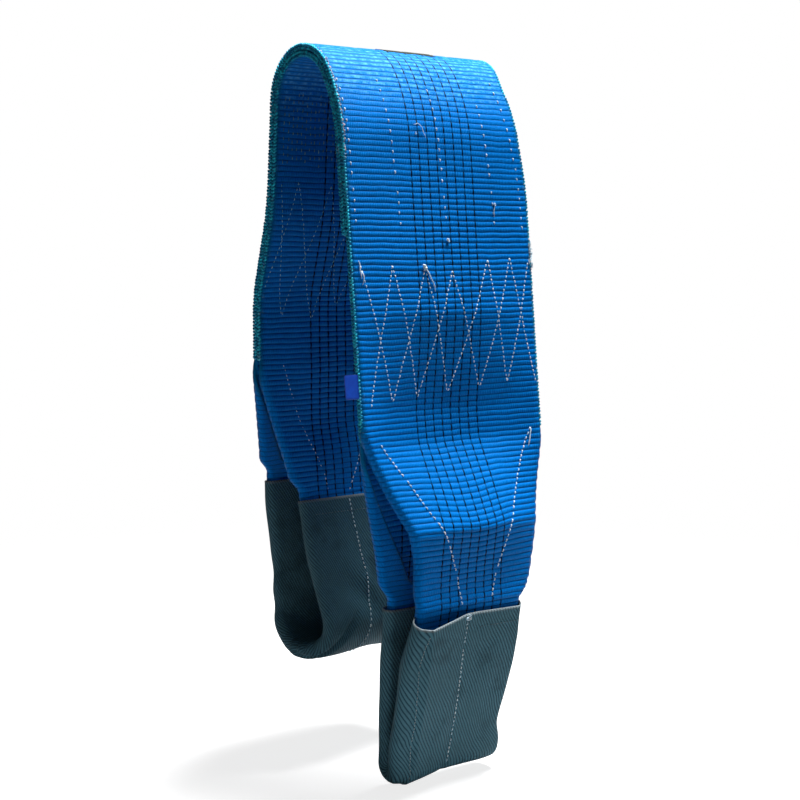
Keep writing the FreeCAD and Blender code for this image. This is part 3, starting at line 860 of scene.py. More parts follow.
def blend_inner_upper(obj, side):
    t = SIDES[side]["throat_t"]["inner"]
    on_line(side, "inner", t + 10)
    on_line(side, "inner", t + 52)
    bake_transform(obj)


def blend_inner_lower(obj, side):
    t = SIDES[side]["mouth_t"]["inner"]
    on_line(side, "inner", t - 34)
    on_line(side, "inner", t + 7)
    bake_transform(obj)


def blend_bight(obj, side):
    line = SIDES[side]["bight"]
    middle = line.nearest(SIDES[side]["pivots"]["bottom"])
    reach = 9.0 if side == "front" else 34.0
    on_line(side, "bight", middle - reach)
    on_line(side, "bight", middle + reach)
    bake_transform(obj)


def add_piece(obj, blend, side, nodes):
    blend(obj, side)
    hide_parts(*nodes)
    return obj


for side in ("front", "back"):
    for ply in ("outer", "inner"):
        web = WEBS[side, ply]
        mid_leg = snap(web.throat - MID_LEG)
        if ply == "outer":
            mid_eye = snap((web.throat + web.mouth) / 2)
            cuts = [
                ("main", 0.0, mid_leg, blend_main, ["crown_outer_ply", side + "_leg_outer_ply"]),
                ("throat", mid_leg, mid_eye, blend_throat,
                 [side + "_leg_outer_ply", side + "_eye_outer_strand", side + "_eye_outer_folds"]),
                ("eye", mid_eye, web.mouth + SLEEVE_DEPTH, blend_outer_eye,
                 [side + "_eye_outer_strand", side + "_eye_outer_folds"]),
            ]
        else:
            turn_at = snap(web.throat + 10)
            mid_eye = snap((web.throat + web.mouth) / 2)
            legs = ["front_leg_inner_ply_upper",
                    "front_leg_inner_ply_lower"] if side == "front" else ["back_leg_inner_ply"]
            upper = [side + "_eye_inner_upper_strand", side + "_eye_inner_upper_folds"]
            lower = [side + "_eye_inner_lower_strand", side + "_eye_inner_lower_folds"]
            cuts = [
                ("main", 0.0, mid_leg, blend_main, ["crown_inner_ply", legs[0]]),
                ("throat", mid_leg, turn_at, blend_throat, [legs[-1]]),
                ("eye_upper", turn_at, mid_eye, blend_inner_upper, upper),
                ("eye_lower", mid_eye, web.mouth + SLEEVE_DEPTH, blend_inner_lower, lower),
            ]
        for label, t0, t1, blend, nodes in cuts:
            name = "%s_%s_%s_web" % (side, ply, label)
            shape = web_shape(web, t0, t1)
            if label == "eye_upper":
                web_shape(web, t1 - TONGUE, t1 + TONGUE, 0.9, shape)
            if t0 < web.throat:
                edge_chain(shape, web, t0, min(t1, web.throat + 4))
            obj = shape.build(name, [WEBBING, CHAIN])
            add_piece(obj, blend, side, nodes)


# ------------------------------------------------------------------ sleeves
SLEEVE_MOUTH = 9.0
# sideways set of the folds in percent of the way from the mouth to the bottom, outwards in mm
FRONT_LEFT_SIDE = [(0, -4.5), (10, 0), (27, 5.7), (50, 4), (75, 3.5), (90, -1), (100, -6), (135, -3),
                   (200, -3)]
FRONT_RIGHT_SIDE = [(0, 2), (20, 4.4), (35, 1.7), (50, -3), (65, -6.5), (75, -7.8), (87, 0), (200, 0)]
BACK_NEAR_SIDE = [(0, 0), (30, 2), (50, 7), (70, 12), (83, 13), (94, 4), (100, 0), (150, 0)]
FRONT_MOUTH_DIP = [(-80, 4.5), (-60, 5.4), (-12, -0.6), (78, 3.0)]


class Sleeve:
    """The wear sleeve: a flattened tube of twill round the eye's bottom."""

    def __init__(self, side):
        self.side = side
        self.flip = SIDES[side]["flip"]
        self.line = SIDES[side]["bight"]
        self.t0, self.t1 = SLEEVE_MOUTH, self.line.length - SLEEVE_MOUTH
        self.bottom = self.line.nearest(SIDES[side]["pivots"]["bottom"])
        self.seed = 41 if side == "front" else 57

    def ring(self, count):
        """Places round the tube, from 0 to 1: the outside face runs from 0 to about a half."""
        return np.linspace(0, 1, count, endpoint=False)

    def half_width(self, t):
        if self.side == "front":
            return 72.0 + 2.5 * smooth_step(t, self.t0 + 110, self.bottom - 8)
        return 84.0 - 5.0 * smooth_step(t, self.t0 + 5, self.t0 + 75) 

    def shift_out(self, x, t):
        """The far half of the back eye hangs a little further out than its line."""
        if self.side == "front":
            return 0.0 * t
        across = 1 - np.clip(np.abs(x) / BELLY_REACH, 0, 1) ** 2.4
        return 8.0 * across * (1 - smooth_step(t, self.t0 + 10, self.t0 + 110))

    def side_shift(self, x, t):
        """How far the two side folds stray from a straight tube, along X."""
        if self.side == "front":
            u = np.clip((t - self.t0) / (self.bottom - self.t0), 0, 2)
            left = -profile(u * 100, FRONT_LEFT_SIDE, 5.0)
            right = profile(u * 100, FRONT_RIGHT_SIDE, 5.0)
            return np.where(x < 0, left, right) * smooth_step(np.abs(x), 10, 70)
        v = np.clip((self.t1 - t) / (self.t1 - self.bottom), 0, 1.5)
        return profile(v * 100, BACK_NEAR_SIDE, 6.0) * smooth_step(-x, 25, 76)

    def section(self, a, t):
        """X and height of the flattened tube: two flat faces joined by round sides."""
        outside, inside, half = 5.6, 10.2, self.half_width(t)
        r = (outside + inside) / 2
        middle = (outside - inside) / 2
        flat, bend = 2 * (half - r), math.pi * r
        s = np.mod(a, 1.0) * 2 * (flat + bend)
        first = np.clip(s - bend / 2, 0, flat)
        turn1 = np.clip(s, 0, bend / 2) + np.clip(s - bend / 2 - flat, 0, bend)
        second = np.clip(s - 1.5 * bend - flat, 0, flat)
        turn = (turn1 + np.clip(s - 1.5 * bend - 2 * flat, 0, bend / 2)) / r
        x = (half - r) - first + second + r * np.cos(turn)
        x = x + self.side_shift(x, t)
        n = middle + r * np.sin(turn)
        return x, n, np.cos(turn), np.sin(turn)

    def mouth_dip(self, x):
        """How far the mouth's edge lies below its own line, across the outside face."""
        if self.side == "front":
            return np.interp(x, *np.array(FRONT_MOUTH_DIP).T)
        return 1.2 * np.sin(x / 21.0)

    def swell(self, x, side_n, t):
        """Soft folds and slack of the cloth, in millimetres outwards."""
        outside = smooth_step(side_n, -0.4, 0.4)
        near_bottom = np.exp(-((t - self.bottom) / 30.0) ** 2)
        amp = 0.8 * wave_noise(x / 26.0, t / 30.0, self.seed)
        amp = amp + 0.35 * wave_noise(x / 11.0, t / 16.0, self.seed + 3)
        mouth = np.exp(-(np.minimum(t - self.t0, self.t1 - t) / 14.0) ** 2)
        amp = amp * (1 - 0.7 * mouth)
        if self.side == "back":
            bend = np.sin((t - self.bottom) / 4.6 + x / 27.0 + 0.8 * np.sin(x / 19.0))
            folds = (np.abs(bend) - 0.55) * near_bottom
            amp = amp + (0.5 * outside + 3.4 * (1 - outside)) * folds
            for x0, rise, deep in ((-46, 44, 5.0), (-52, 30, 3.6), (-34, 58, 2.6)):
                line = (t - self.bottom - rise) - (x - x0) * 1.35
                amp = amp - deep * outside * np.exp(-(line / 3.4) ** 2) * smooth_step(-x, 18, 50)
            amp = amp + 1.3 * wave_noise(x / 24.0, t / 21.0, 83) * (1 - mouth)
            slack = (np.sin((t - self.t0) / 8.0 - x / 15.0 + np.sin(x / 24.0))
                 * np.exp(-((t - self.bottom + 78) / 30.0) ** 2))
            other = (np.sin((t - self.t1) / 9.5 + x / 13.0 + np.sin(x / 17.0))
                 * np.exp(-((t - self.bottom - 92) / 34.0) ** 2))
            amp = amp + 1.6 * slack + 1.8 * other * outside
        else:
            down = np.clip((t - self.t0) / (self.bottom - self.t0), 0, 1)
            crease = -60.0 + 7.0 * down
            lap = smooth_step(x, crease - 0.6,
                              crease + 1.4) * (1 - 0.75 * smooth_step(x, -30, 2)) * (t < self.bottom + 14)
            facet = -1.0 * smooth_step(-x, 50, 80) * (1 - 0.5 * down)
            across = np.where(x < crease, (x + 80) / (crease + 80), (10 - x) / (10 - crease))
            ridge = (11.5 - 6.5 * down) * np.clip(across, 0, 1) ** 1.15
            gather = -0.8 * np.exp(-((x + 4) / 4.0) ** 2)
            amp = amp + outside * (1.5 * lap + facet + ridge + gather)
            amp = amp + outside * 2.2 * hill(down, 0.05, 0.5, 0.95)
        return np.maximum(amp, -3.2) if self.side == "back" else amp

    def point(self, a, t, lift=0.0):
        a, t = np.broadcast_arrays(np.asarray(a, float), np.asarray(t, float))
        x, n, nx, nn = self.section(a, t)
        near_mouth = 1 - smooth_step(t, self.t0, self.t0 + 45)
        dip = self.mouth_dip(x) * smooth_step(nn, -0.2, 0.9)
        near_mouth = near_mouth * (1 - smooth_step(t, self.bottom - 20, self.bottom))
        t_used = t + dip * near_mouth
        amp = self.swell(x, nn, t_used) + lift
        total = n + nn * amp + self.shift_out(x, t_used)
        return placed(self.line, self.flip, x + nx * amp, t_used, total)

    def build(self, name):
        around, rows = 260, 120
        A, T = np.meshgrid(self.ring(around), np.linspace(self.t0, self.t1, rows))
        outer = self.point(A, T)
        inner = self.point(A, T, lift=-1.6)
        steps = np.linalg.norm(np.roll(outer[rows // 3], -1, axis=0) - outer[rows // 3], axis=1) / MM
        self.girth = float(steps.sum())
        faces = tube_faces(rows, around)
        count = rows * around
        k = np.arange(around)
        k2 = (k + 1) % around
        last = (rows - 1) * around
        rim0 = np.stack([k, k + count, k2 + count, k2], -1)
        rim1 = np.stack([last + k, last + k2, last + k2 + count, last + k + count], -1)
        sets = [faces, (faces + count)[:, ::-1], rim0, rim1]
        if self.flip < 0:
            sets = [f[:, ::-1] for f in sets]
        uv = np.stack([np.tile(A[0] * self.girth * -self.flip, (rows, 1)), T], -1) / 1000.0
        rim = np.zeros((rows, around))
        rim[:1], rim[-1:] = 1.0, 1.0
        shape = Shape()
        shape.add(np.concatenate([outer.reshape(-1, 3), inner.reshape(-1, 3)]), sets, 0,
                  np.concatenate([uv.reshape(-1, 2)] * 2), {"rim": np.concatenate([rim.ravel()] * 2)})
        return shape.build(name, [TWILL if self.side == "front" else SHADED_BACK_TWILL])


for side in ("front", "back"):
    sleeve = Sleeve(side)
    SIDES[side]["sleeve"] = sleeve
    obj = sleeve.build(side + "_sleeve")
    add_piece(obj, blend_bight, side, [side + "_sleeve_outer", side + "_sleeve_inner"])


# ------------------------------------------------------------------ web inside the sleeve
class BightWeb:
    """A plain slab that stands for the folded web round the bottom of the eye, hidden in the sleeve."""

    HALF = 56.0
    STEPS = 40
    ROW_PITCH = 3
    ROUND_FROM = 0.92
    # height of the outward and the inward face from the line
    FACES = {"front": (3.2, -7.4), "back": (0.6, -5.2)}

    def __init__(self, side):
        self.side, self.flip, self.line = side, SIDES[side]["flip"], SIDES[side]["bight"]
        self.sleeve = SIDES[side]["sleeve"]

    def build(self, name):
        t0, t1 = SLEEVE_DEPTH, self.line.length - SLEEVE_DEPTH
        rows = int((t1 - t0) / self.ROW_PITCH)
        half_u = np.linspace(-1, 1, self.STEPS + 1)
        a = np.concatenate([half_u[:-1], -half_u[:-1] + 0.0])
        top = np.concatenate([np.ones(self.STEPS), -np.ones(self.STEPS)])
        x = self.HALF * a
        rounding = np.clip((np.abs(a) - self.ROUND_FROM) / 0.08, 0, 1)
        edge = np.sqrt(np.clip(1 - rounding ** 2, 0, 1))
        above, below = self.FACES[self.side]
        middle = (above + below) / 2
        n = middle + (np.where(top > 0, above, below) - middle) * edge
        T = np.linspace(t0, t1, rows)[:, None]
        ribs = 0.5 * rib_height(T / RIB_PITCH) * edge
        height = n + np.sign(top) * (ribs - 0.5) + self.sleeve.shift_out(x, T)
        ring = placed(self.line, self.flip, x + 0 * height, T + 0 * x, height)
        around = ring.shape[1]
        uv = np.stack([ring[..., 0] / MM, T + 0 * x], -1) / 1000.0
        values = {"rib": rib_height(T / RIB_PITCH + 0 * x)}
        shape = Shape()
        shape.add(ring, band_faces(rows, around, self.flip), 0, uv, values, cut_ends(rows, around))
        return shape.build(name, [WEBBING])


for side in ("front", "back"):
    obj = BightWeb(side).build(side + "_bight_web")
    nodes = ["%s_bight_%s_%s" % (side, half, part) for half in ("outer", "inner") for part in ("web",
            "folds")]
    # 0.12 m is the width of the slab: the real web is 0.24 m flat
    add_piece(obj, blend_bight, side, nodes)

# ------------------------------------------------------------------ stitching
def thread_piece(name, paths, radius, side, blend, nodes, material=None, around=6, taper=0.35):
    shape = Shape()
    if not isinstance(paths, list):
        paths, radius = [paths], [radius]
    for p, r in zip(paths, radius):
        threads(shape, p, r, around=around, taper=taper)
    obj = shape.build(name, [material or THREAD])
    blend(obj, side)
    if nodes:
        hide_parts(*nodes)
    return obj


def split_at(ends, t_cut):
    """Splits stitch lines at a station, giving the parts above and below it."""
    above, below = [], []
    for q0, t0, q1, t1 in ends:
        if t0 > t1:
            q0, t0, q1, t1 = q1, t1, q0, t0
        if t1 <= t_cut:
            above.append((q0, t0, q1, t1))
        elif t0 >= t_cut:
            below.append((q0, t0, q1, t1))
        else:
            q = q0 + (q1 - q0) * (t_cut - t0) / (t1 - t0)
            above.append((q0, t0, q, t_cut))
            below.append((q, t_cut, q1, t1))
    return above, below


# lengthwise rows of the lap on the front leg: shown between 70 and 176 mm, sunk elsewhere
front_outer = WEBS["front", "outer"]
shown = [(x0, a, x1, b) for x0, a, x1, b in (
    (-116, 66, -113, 176), (-66, 64, -57, 178), (-3, 70, 4, 182), (61, 84, 69, 176), (101, 56, 108, 150))]
sunk = [(x1, b, x1 + 2, 223) for x0, a, x1, b in shown]
above = np.concatenate([
    stitch_line(front_outer, shown, 10.4, length=0.34, rise=0.95, sunk=0.35),
    stitch_line(front_outer, sunk, 10.4, length=0.3, rise=0.45, sunk=0.5)])
thread_piece("front_lap_rows", above, 0.55, "front", blend_main, ["crown_seam_rows", "front_leg_seam_rows"])

# zigzags: each upper point joins the lower points either side of the one below it
FRONT_TOP = [(-110, 256), (-70, 256), (-28, 259), (8, 262), (58, 251), (89, 249), (115, 254)]
FRONT_LOW = [(-107, 403), (-72, 396), (-37, 392), (4, 389), (46, 386), (81, 382), (116, 384)]
strokes_left = [(*FRONT_TOP[k], *FRONT_LOW[k - 1]) for k in range(1, 7)]
strokes_right = [(*FRONT_TOP[k], *FRONT_LOW[k + 1]) for k in range(0, 6)]
for name, strokes, rise, node in (("first", strokes_left, 1.15, "zigzag_first"),
                                  ("second", strokes_right, 0.85, "zigzag_second")):
    paths = stitch_line(front_outer, strokes, 4.9, length=0.64, rise=rise, sunk=0.6)
    thread_piece("front_zigzag_" + name, paths, 0.5, "front", blend_throat, ["front_leg_" + node])

# back zigzags, in a teal-tinted copy of the white thread that paints the shade on the back leg
back_inner = WEBS["back", "inner"]
BACK_TOP = [(-112, 155), (-90, 153), (-47, 156), (-5, 155), (38, 156), (78, 154), (112, 156)]
BACK_LOW = [(-117, 272), (-93, 302), (-54, 306), (-22, 292), (18, 304), (60, 300), (104, 298)]
strokes_left = [(*BACK_TOP[k], *BACK_LOW[k - 1]) for k in range(1, 7)]
strokes_right = [(*BACK_TOP[k], *BACK_LOW[k + 1]) for k in range(0, 6)]
for name, strokes, node in (("first", strokes_left, "zigzag_first"),
                            ("second", strokes_right, "zigzag_second")):
    paths = stitch_line(back_inner, strokes, 5.4, face=-1.0, length=0.6, rise=0.95, sunk=0.6)
    paths_out = stitch_line(WEBS["back", "outer"], strokes, 5.4, length=0.6, rise=0.95, sunk=0.5)
    thread_piece("back_zigzag_" + name, np.concatenate([paths, paths_out]), 0.42, "back", blend_main,
                 ["back_leg_" + node], SHADED_ZIGZAG_THREAD)

# close rows of splice stitching inside the crown, in a darker copy of the thread colour that paints the
# crown's shade
splice = [(x, 62 + RNG.uniform(-5, 5), x, 138 + RNG.uniform(-6, 4)) for x in np.arange(-111, 113, 5.7)]
paths = stitch_line(back_inner, splice, 8.2, face=-1.0, length=0.52, rise=1.0, sunk=0.7, loose=0.3)
thread_piece("crown_splice_stitching", paths, 0.5, "back", blend_main, ["crown_splice_stitches"], SHADED_THREAD)

# tapering rows that hold the folded edges of the eyes
for side in ("front", "back"):
    outer, inner = WEBS[side, "outer"], WEBS[side, "inner"]
    d = outer.mouth - outer.throat
    left = [(-94, 8), (-68, 46), (-50, 80), (-30, 116), (-16, 150), (-9, d + 3)]
    right = [(106, 4), (79, 56), (57, 98), (37, 152), (30, d + 3)]
    for ply, web in (("outer", outer), ("inner", inner)):
        scale = (web.mouth - web.throat) / d
        if (side, ply) == ("back", "inner"):
            left = [(-92, 8), (-74, 60), (-46, 120), (-41, d + 3)]
            right = [(96, 4), (50, 50), (5, 104), (-11, 138), (-13, d + 3)]
        runs = []
        for row in (left, right):
            points = [(q, web.throat + r * scale) for q, r in row]
            runs += [(*a, *b) for a, b in zip(points[:-1], points[1:])]
        if ply == "outer":
            mid = snap((web.throat + web.mouth) / 2)
            upper, lower = split_at(runs, mid)
            paths = stitch_line(web, upper, 5.3, length=0.66, rise=1.15, sunk=0.2)
            thread_piece(side + "_outer_taper_upper", paths, 0.6, side, blend_throat,
                         [side + "_eye_outer_taper_stitches"])
            paths = stitch_line(web, lower, 5.3, length=0.66, rise=1.15, sunk=0.2)
            thread_piece(side + "_outer_taper_lower", paths, 0.6, side, blend_outer_eye,
                         [side + "_eye_outer_taper_stitches"])
        else:
            upper, lower = split_at(runs, snap((web.throat + web.mouth) / 2))
            both = []
            for part in (upper, lower):
                deep = [run for run in part if side == "back" and run[0] < -20]
                part = [run for run in part if run not in deep]
                a = stitch_line(web, part + deep, 5.3, face=1.0, length=0.6, rise=0.9, sunk=0.4)
                b = stitch_line(web, part, 5.3, face=-1.0, length=0.6, rise=0.9, sunk=0.4)
                if deep:
                    b = np.concatenate([b, stitch_line(web, deep, 5.3, face=-1.0, length=0.5, rise=0.25,
                                                       sunk=0.4)])
                both.append(np.concatenate([a, b]))
            thread_piece(side + "_inner_taper_upper", both[0], 0.5, side, blend_inner_upper,
                         [side + "_eye_inner_upper_taper_stitches"])
            thread_piece(side + "_inner_taper_lower", both[1], 0.5, side, blend_inner_lower,
                         [side + "_eye_inner_lower_taper_stitches"])


def sleeve_stitches(sleeve, ends, pitch, rise=0.75, length=0.62):
    """Stitches on the sleeve between (x, t) points, on the outside or the inside face."""
    share = np.linspace(0, 1, 6)
    arch = np.sin(math.pi * share) ** 0.6
    ring = np.linspace(0, 1, 2000)
    xs, _, _, nn = sleeve.section(ring, 0 * ring)
    paths = []
    for face, x0, t0, x1, t1 in ends:
        pool = nn > 0.5 if face > 0 else nn < -0.5
        order = np.argsort(xs[pool])
        turn_of = lambda x: np.interp(x, xs[pool][order], ring[pool][order])
        reach = math.hypot(x1 - x0, t1 - t0)
        count = max(1, int(reach / pitch))
        for k in range(count):
            a = (k + 0.5 - length / 2 + RNG.normal(0, 0.03)) * pitch / reach
            f = a + length * pitch / reach * RNG.uniform(0.85, 1.05) * share
            x, t = x0 + (x1 - x0) * f + RNG.normal(0, 0.12), t0 + (t1 - t0) * f
            paths.append(sleeve.point(turn_of(x), t, lift=-0.35 + (rise + 0.35) * arch))
    return np.array(paths)


# where the sleeves' seams lie across the web, at shares of the way from the mouth down
SEAM_PATHS = {
    "front": {"outer": [(0, -5), (0.2, -6), (0.5, -4.5), (0.8, -3), (1, -2.5)], "inner": [(0, 4), (1, 6)]},
    "back": {"outer": [(0, 4), (1, 2)], "inner": [(0, -18), (0.2, -13), (0.45, -8), (0.75, -10), (1, -19)]},
}
for side in ("front", "back"):
    sleeve = SIDES[side]["sleeve"]
    b, t0, t1 = sleeve.bottom, sleeve.t0, sleeve.t1
    runs = {"outer": [], "inner": []}
    for half, wander in SEAM_PATHS[side].items():
        for (f0, x0), (f1, x1) in zip(wander[:-1], wander[1:]):
            if half == "outer":
                runs[half].append((1, x0, t0 + 3 + (b - t0 - 12) * f0, x1, t0 + 3 + (b - t0 - 12) * f1))
            else:
                runs[half].append((1, x0, t1 - 3 - (t1 - b - 12) * f0, x1, t1 - 3 - (t1 - b - 12) * f1))
    if side == "front":
        crease = [(1, -58.6 + 7.0 * f, t0 + 8 + (b - t0 - 14) * f, -58.6 + 7.0 * (f + 0.25),
                   t0 + 8 + (b - t0 - 14) * (f + 0.25)) for f in (0, 0.25, 0.5, 0.75)]
        thread_piece("front_sleeve_crease_thread",
                     sleeve_stitches(sleeve, crease, 3.6, rise=0.3, length=0.75), 0.34, side,
                     blend_bight, ["front_sleeve_outer_seam"], GREY_THREAD)
    hem = {"outer": [(1, 14, t0 + 17, 70, t0 + 17)], "inner": [(1, -70, t1 - 17, 70, t1 - 17)]}
    for half in ("outer", "inner"):
        thread_piece("%s_sleeve_%s_seam_thread" % (side, half), sleeve_stitches(sleeve, runs[half], 5.0),
                     0.55, side,
                     blend_bight, ["%s_sleeve_%s_seam" % (side, half)])
        thread_piece("%s_sleeve_%s_hem_thread" % (side, half),
                     sleeve_stitches(sleeve, hem[half], 4.6, rise=0.35), 0.35,
                     side, blend_bight, ["%s_sleeve_%s_hem_stitch" % (side, half)], DARK_THREAD)

# ------------------------------------------------------------------ knots, tufts, print, label
def knot(web, q, t, size, turns=3):
    """A few tight loops of thread sitting on the web."""
    share = np.linspace(0, 1, 14)
    paths = []
    for k in range(turns):
        turn = 2 * math.pi * (share + RNG.uniform()) * RNG.uniform(0.8, 1.2)
        qq = q + size * np.cos(turn) * RNG.uniform(0.5, 1.0) + RNG.normal(0, 0.3)
        tt = t + size * 1.3 * np.sin(turn + RNG.uniform(0, 1)) * RNG.uniform(0.5, 1.0) + RNG.normal(0, 0.3)
        paths.append(web.point(qq, tt, 1.0, lift=1.0 + 0.6 * np.sin(2 * turn) + 0.25 * k, ribbed=False))
    return np.array(paths)


def tuft(web, q, t, reach, count, spread, out=1.0, aside=0.0):
    """Short loose ends of thread standing off an edge or the face."""
    share = np.linspace(0, 1, 8)
    paths = []
    for _ in range(count):
        dq, dt = RNG.normal(0, 1, 2) * (reach * 0.35, reach)
        curl = RNG.uniform(-1, 1, 2) * reach * 0.5
        qq = q + RNG.normal(0, spread[0]) + dq * share + curl[0] * share ** 2
        tt = t + RNG.normal(0, spread[1]) + dt * share + curl[1] * np.sin(3 * share)
        path = web.point(qq, tt, 1.0, lift=0.2 + out * RNG.uniform(0.5, 1.6) * share, ribbed=False)
        path[:, 0] += np.sign(q) * aside * RNG.uniform(0.3, 1.0) * np.sin(2.2 * share) * MM
        paths.append(path)
    return np.array(paths)


def run_thread(web, points, lift):
    """One loose thread through a few (q, t) points."""
    q, t = np.array(points, float).T
    share = np.linspace(0, 1, 24)
    where = np.linspace(0, 1, len(q))
    qq = np.interp(share, where, q) + 0.4 * np.sin(9 * share)
    tt = np.interp(share, where, t) + 0.3 * np.sin(13 * share)
    return web.point(qq, tt, 1.0, lift=lift * np.sin(math.pi * share) ** 0.5 + 0.3, ribbed=False)[None]


fuzz_q = []
for t in np.arange(26, 150, 1.15):
    fuzz_q.append(t + RNG.normal(0, 0.6))
fringe = []
share = np.linspace(0, 1, 6)
for t in fuzz_q:
    q0 = -120.0 + abs(RNG.normal(0, 0.5))
    tt = t + RNG.normal(0, 2.2) * share
    qq = q0 + RNG.uniform(-0.3, 1.8) * np.sin(math.pi * share * 0.8)
    fringe.append(front_outer.point(qq, tt, 1.0, lift=0.1 + RNG.uniform(0.1, 0.9) * np.sin(math.pi * share),
                                    ribbed=False))
# loose fibres along the front edge are real fuzz; their pale pink colour is a painted highlight
FRINGE_HIGHLIGHT = thread_material("edge_fluff_highlight", (0.80, 0.62, 0.66), (0.25, 0.34, 0.46))
thread_piece("front_edge_fringe", np.array(fringe), 0.34, "front", blend_main, ["crown_seam_rows"], FRINGE_HIGHLIGHT,
             around=4)
loose_main = [knot(front_outer, 5, 231, 1.3), knot(front_outer, 72, 193, 1.3, 2),
              run_thread(front_outer, [(72, 193), (71, 199), (70.5, 206)], 0.7),
              run_thread(front_outer, [(-30, 113), (-26, 112), (-20, 116), (-19, 122), (-16, 126)], 1.6),
              knot(front_outer, -29, 122, 0.8, 1)]
thread_piece("front_lap_knots", loose_main, [0.5, 0.5, 0.42, 0.36, 0.42], "front", blend_main,
             ["front_leg_seam_rows"], around=5)
loose_throat = [
    knot(front_outer, -29, 259, 2.0, 5),
    run_thread(front_outer, [(-28, 259), (-24, 266), (-19, 275), (-17, 284)], 1.2),
    run_thread(front_outer, [(-112, 252), (-111, 261), (-110, 270)], 1.2),
    run_thread(front_outer, [(-110, 262), (-107, 268), (-109, 276)], 1.6),
    tuft(front_outer, 118.5, 248, 5.0, 26, (0.8, 9.0), 1.4, 3.4),
    run_thread(front_outer, [(106, 432), (105, 440), (101, 452)], 1.0),
]
thread_piece("front_zigzag_knots", loose_throat, [0.78, 0.7, 0.62, 0.6, 0.5, 0.75], "front", blend_throat,
             ["front_leg_zigzag_first"], around=5)
sleeve = SIDES["front"]["sleeve"]
share = np.linspace(0, 1, 12)
ring = np.linspace(0, 1, 4000)
xs, _, _, nn = sleeve.section(ring, 0 * ring + sleeve.t0 + 2)
seam_turn = ring[nn > 0.5][np.argmin(np.abs(xs[nn > 0.5] + 5.0))]
loops = [sleeve.point(seam_turn + 0.006 * np.cos(6.3 * share + k) * (1 + 0.3 * k),
                      sleeve.t0 + 2 + 1.6 * k * 0.5 + 2.0 * np.sin(6.3 * share + 2 * k),
                      lift=0.9 + 0.5 * np.sin(12 * share)) for k in range(5)]
thread_piece("front_sleeve_knot", np.array(loops), 0.5, "front", blend_bight, ["front_sleeve_outer_seam"],
             around=5)


def crest_print():
    """Thin worn print on the outside of the crown, following the ribs."""
    web = WEBS["back", "outer"]
    q, t = np.meshgrid(np.linspace(-25, 41, 34), np.linspace(-20, 30, 60))
    wear = 1.2 * wave_noise(q / 7.0, t / 7.0, 77)
    q = q + np.where(np.abs(q - 8) > 31, wear, 0)
    t = t + np.where(t < -18, wear, 0)
    over = (t < 0)[..., None]
    skin = lambda lift: np.where(over, front_outer.point(q, -t, 1.0, lift=lift),
                                 web.point(q, t, 1.0, lift=lift))
    top, low = skin(0.45 + 0.5 * hill(t, -12, 0, 12)), skin(-0.1)
    shape = Shape()
    shape.add(np.concatenate([top.reshape(-1, 3), low.reshape(-1, 3)]), slab_faces(*q.shape))
    obj = shape.build("crest_print", [PRINT])
    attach(obj, "crown")
    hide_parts("crown_print_patch")


def label_tab():
    """Small stiff tab with rounded free corners, slightly curled."""
    lo, hi = (np.array(v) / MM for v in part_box("label_tag"))
    leg = SIDES["front"]["outer"]
    middle = np.array([(lo[1] + hi[1]) / 2, (lo[2] + hi[2]) / 2])
    nearest = np.argmin(np.hypot(*(leg.points - middle).T))
    along, out = leg.tangent[nearest], leg.out[nearest]
    width, height = hi[0] - lo[0], math.hypot(hi[1] - lo[1], hi[2] - lo[2]) - 0.4
    u, v = np.meshgrid(np.linspace(0, 1, 20), np.linspace(-1, 1, 26))
    corner = 2.6
    squeeze = np.clip((corner - (1 - u) * width) / corner, 0, 1)
    half = height / 2 - corner * (1 - np.sqrt(1 - squeeze ** 2))
    sheets = []
    for face in (1, -1):
        edge = np.sqrt(np.clip(1 - np.maximum(np.abs(v), 0.02) ** 24, 0, 1)) * np.sqrt(np.clip(1 - u ** 40, 0,
                1))
        lift = face * 0.36 * edge + 0.5 * u ** 2 * (0.4 + 0.6 * v) - 0.15
        x = hi[0] - u * width
        yz = middle + (v * half)[..., None] * along + lift[..., None] * out
        sheets.append(np.concatenate([x[..., None], yz], -1) * MM)
    shape = Shape()
    shape.add(np.concatenate([p.reshape(-1, 3) for p in sheets]), [f[:, ::-1] for f in slab_faces(*u.shape)])
    obj = shape.build("label_tab", [LABEL])
    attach(obj, "label")
    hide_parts("label_tag")


crest_print()
label_tab()

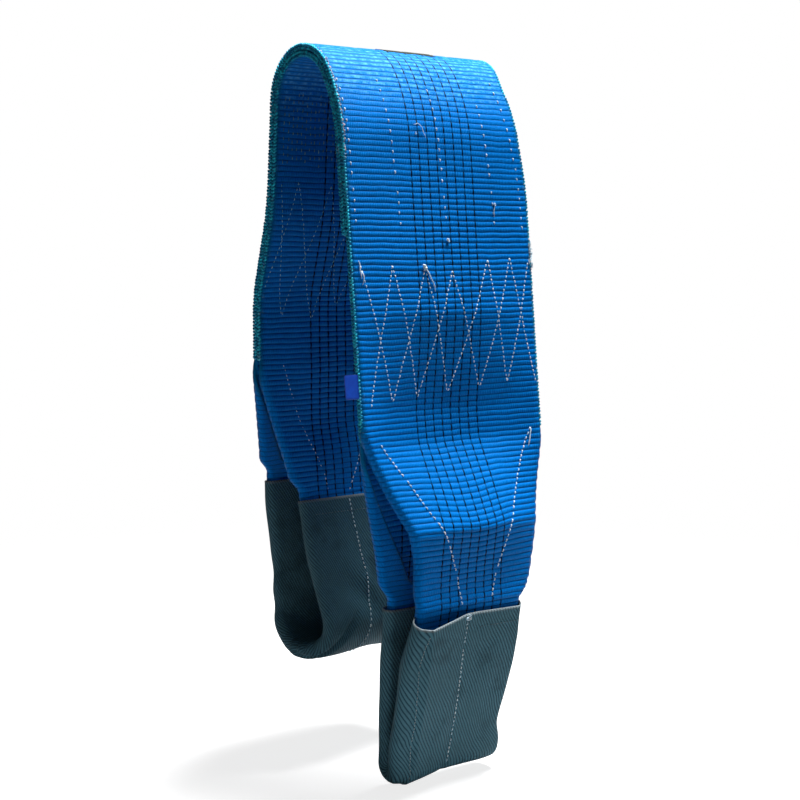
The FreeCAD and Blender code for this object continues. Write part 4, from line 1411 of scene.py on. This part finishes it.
# ------------------------------------------------------------------ floor and light
def make_studio():
    lo, hi = cad_box
    centre = (lo + hi) / 2
    floor_z = lo.z - 0.012
    rings, around = 24, 96
    radius = np.concatenate([[0.0], np.linspace(0.08, 2.4, rings - 1)])
    angle = np.linspace(0, 2 * math.pi, around, endpoint=False)
    R, A = np.meshgrid(radius, angle, indexing="ij")
    vertices = np.stack([centre.x + R * np.cos(A), centre.y + R * np.sin(A), np.full_like(R, floor_z)], -1)
    floor_mat = Nodes("floor")
    geometry = floor_mat.add("ShaderNodeNewGeometry").outputs["Position"]
    away = floor_mat.add("ShaderNodeVectorMath", operation="DISTANCE")
    floor_mat.link(geometry, away.inputs[0])
    away.inputs[1].default_value = (centre.x, centre.y, floor_z)
    fade = floor_mat.ramp(away.outputs["Value"], 0.35, 1.5, 1.0, 0.0)
    floor_mat.shader.inputs["Base Color"].default_value = (0.5, 0.5, 0.5, 1)
    floor_mat.shader.inputs["Emission Color"].default_value = (1, 1, 1, 1)
    seen_only = floor_mat.add("ShaderNodeLightPath").outputs["Is Camera Ray"]
    floor_mat.link(floor_mat.math("MULTIPLY", seen_only, 0.8), floor_mat.shader.inputs["Emission Strength"])
    floor_mat.shader.inputs["Roughness"].default_value = 0.9
    floor_mat.link(fade, floor_mat.shader.inputs["Alpha"])
    disc = Shape()
    disc.add(vertices, [tube_faces(rings, around)])
    floor = disc.build("floor", [floor_mat.material])

    world = bpy.data.worlds.new("studio")
    bpy.context.scene.world = world
    world.use_nodes = True
    tree = world.node_tree
    background = tree.nodes["Background"]
    background.inputs["Color"].default_value = (1, 1, 1, 1)
    seen = tree.nodes.new("ShaderNodeBackground")
    seen.inputs["Color"].default_value = (1, 1, 1, 1)
    seen.inputs["Strength"].default_value = 1.0
    background.inputs["Strength"].default_value = 0.05
    path = tree.nodes.new("ShaderNodeLightPath")
    mix = tree.nodes.new("ShaderNodeMixShader")
    tree.links.new(path.outputs["Is Camera Ray"], mix.inputs[0])
    tree.links.new(background.outputs[0], mix.inputs[1])
    tree.links.new(seen.outputs[0], mix.inputs[2])
    tree.links.new(mix.outputs[0], tree.nodes["World Output"].inputs["Surface"])

    def area(name, location, size, power, target):
        light = bpy.data.lights.new(name, "AREA")
        light.shape = "RECTANGLE"
        light.size, light.size_y = size
        light.energy = power
        obj = bpy.data.objects.new(name, light)
        obj.location = location
        aim = Vector(target) - Vector(location)
        obj.rotation_mode = "QUATERNION"
        obj.rotation_quaternion = aim.to_track_quat("-Z", "Y")
        bpy.context.scene.collection.objects.link(obj)

    area("key", (0.46, -0.27, 2.0), (0.8, 0.7), 158.0, (0, -0.03, -0.1))
    area("fill", (-1.2, -1.9, 0.5), (1.6, 1.2), 0.7, (0, 0, -0.4))


make_studio()
scene = bpy.context.scene
scene.view_settings.view_transform = "Standard"
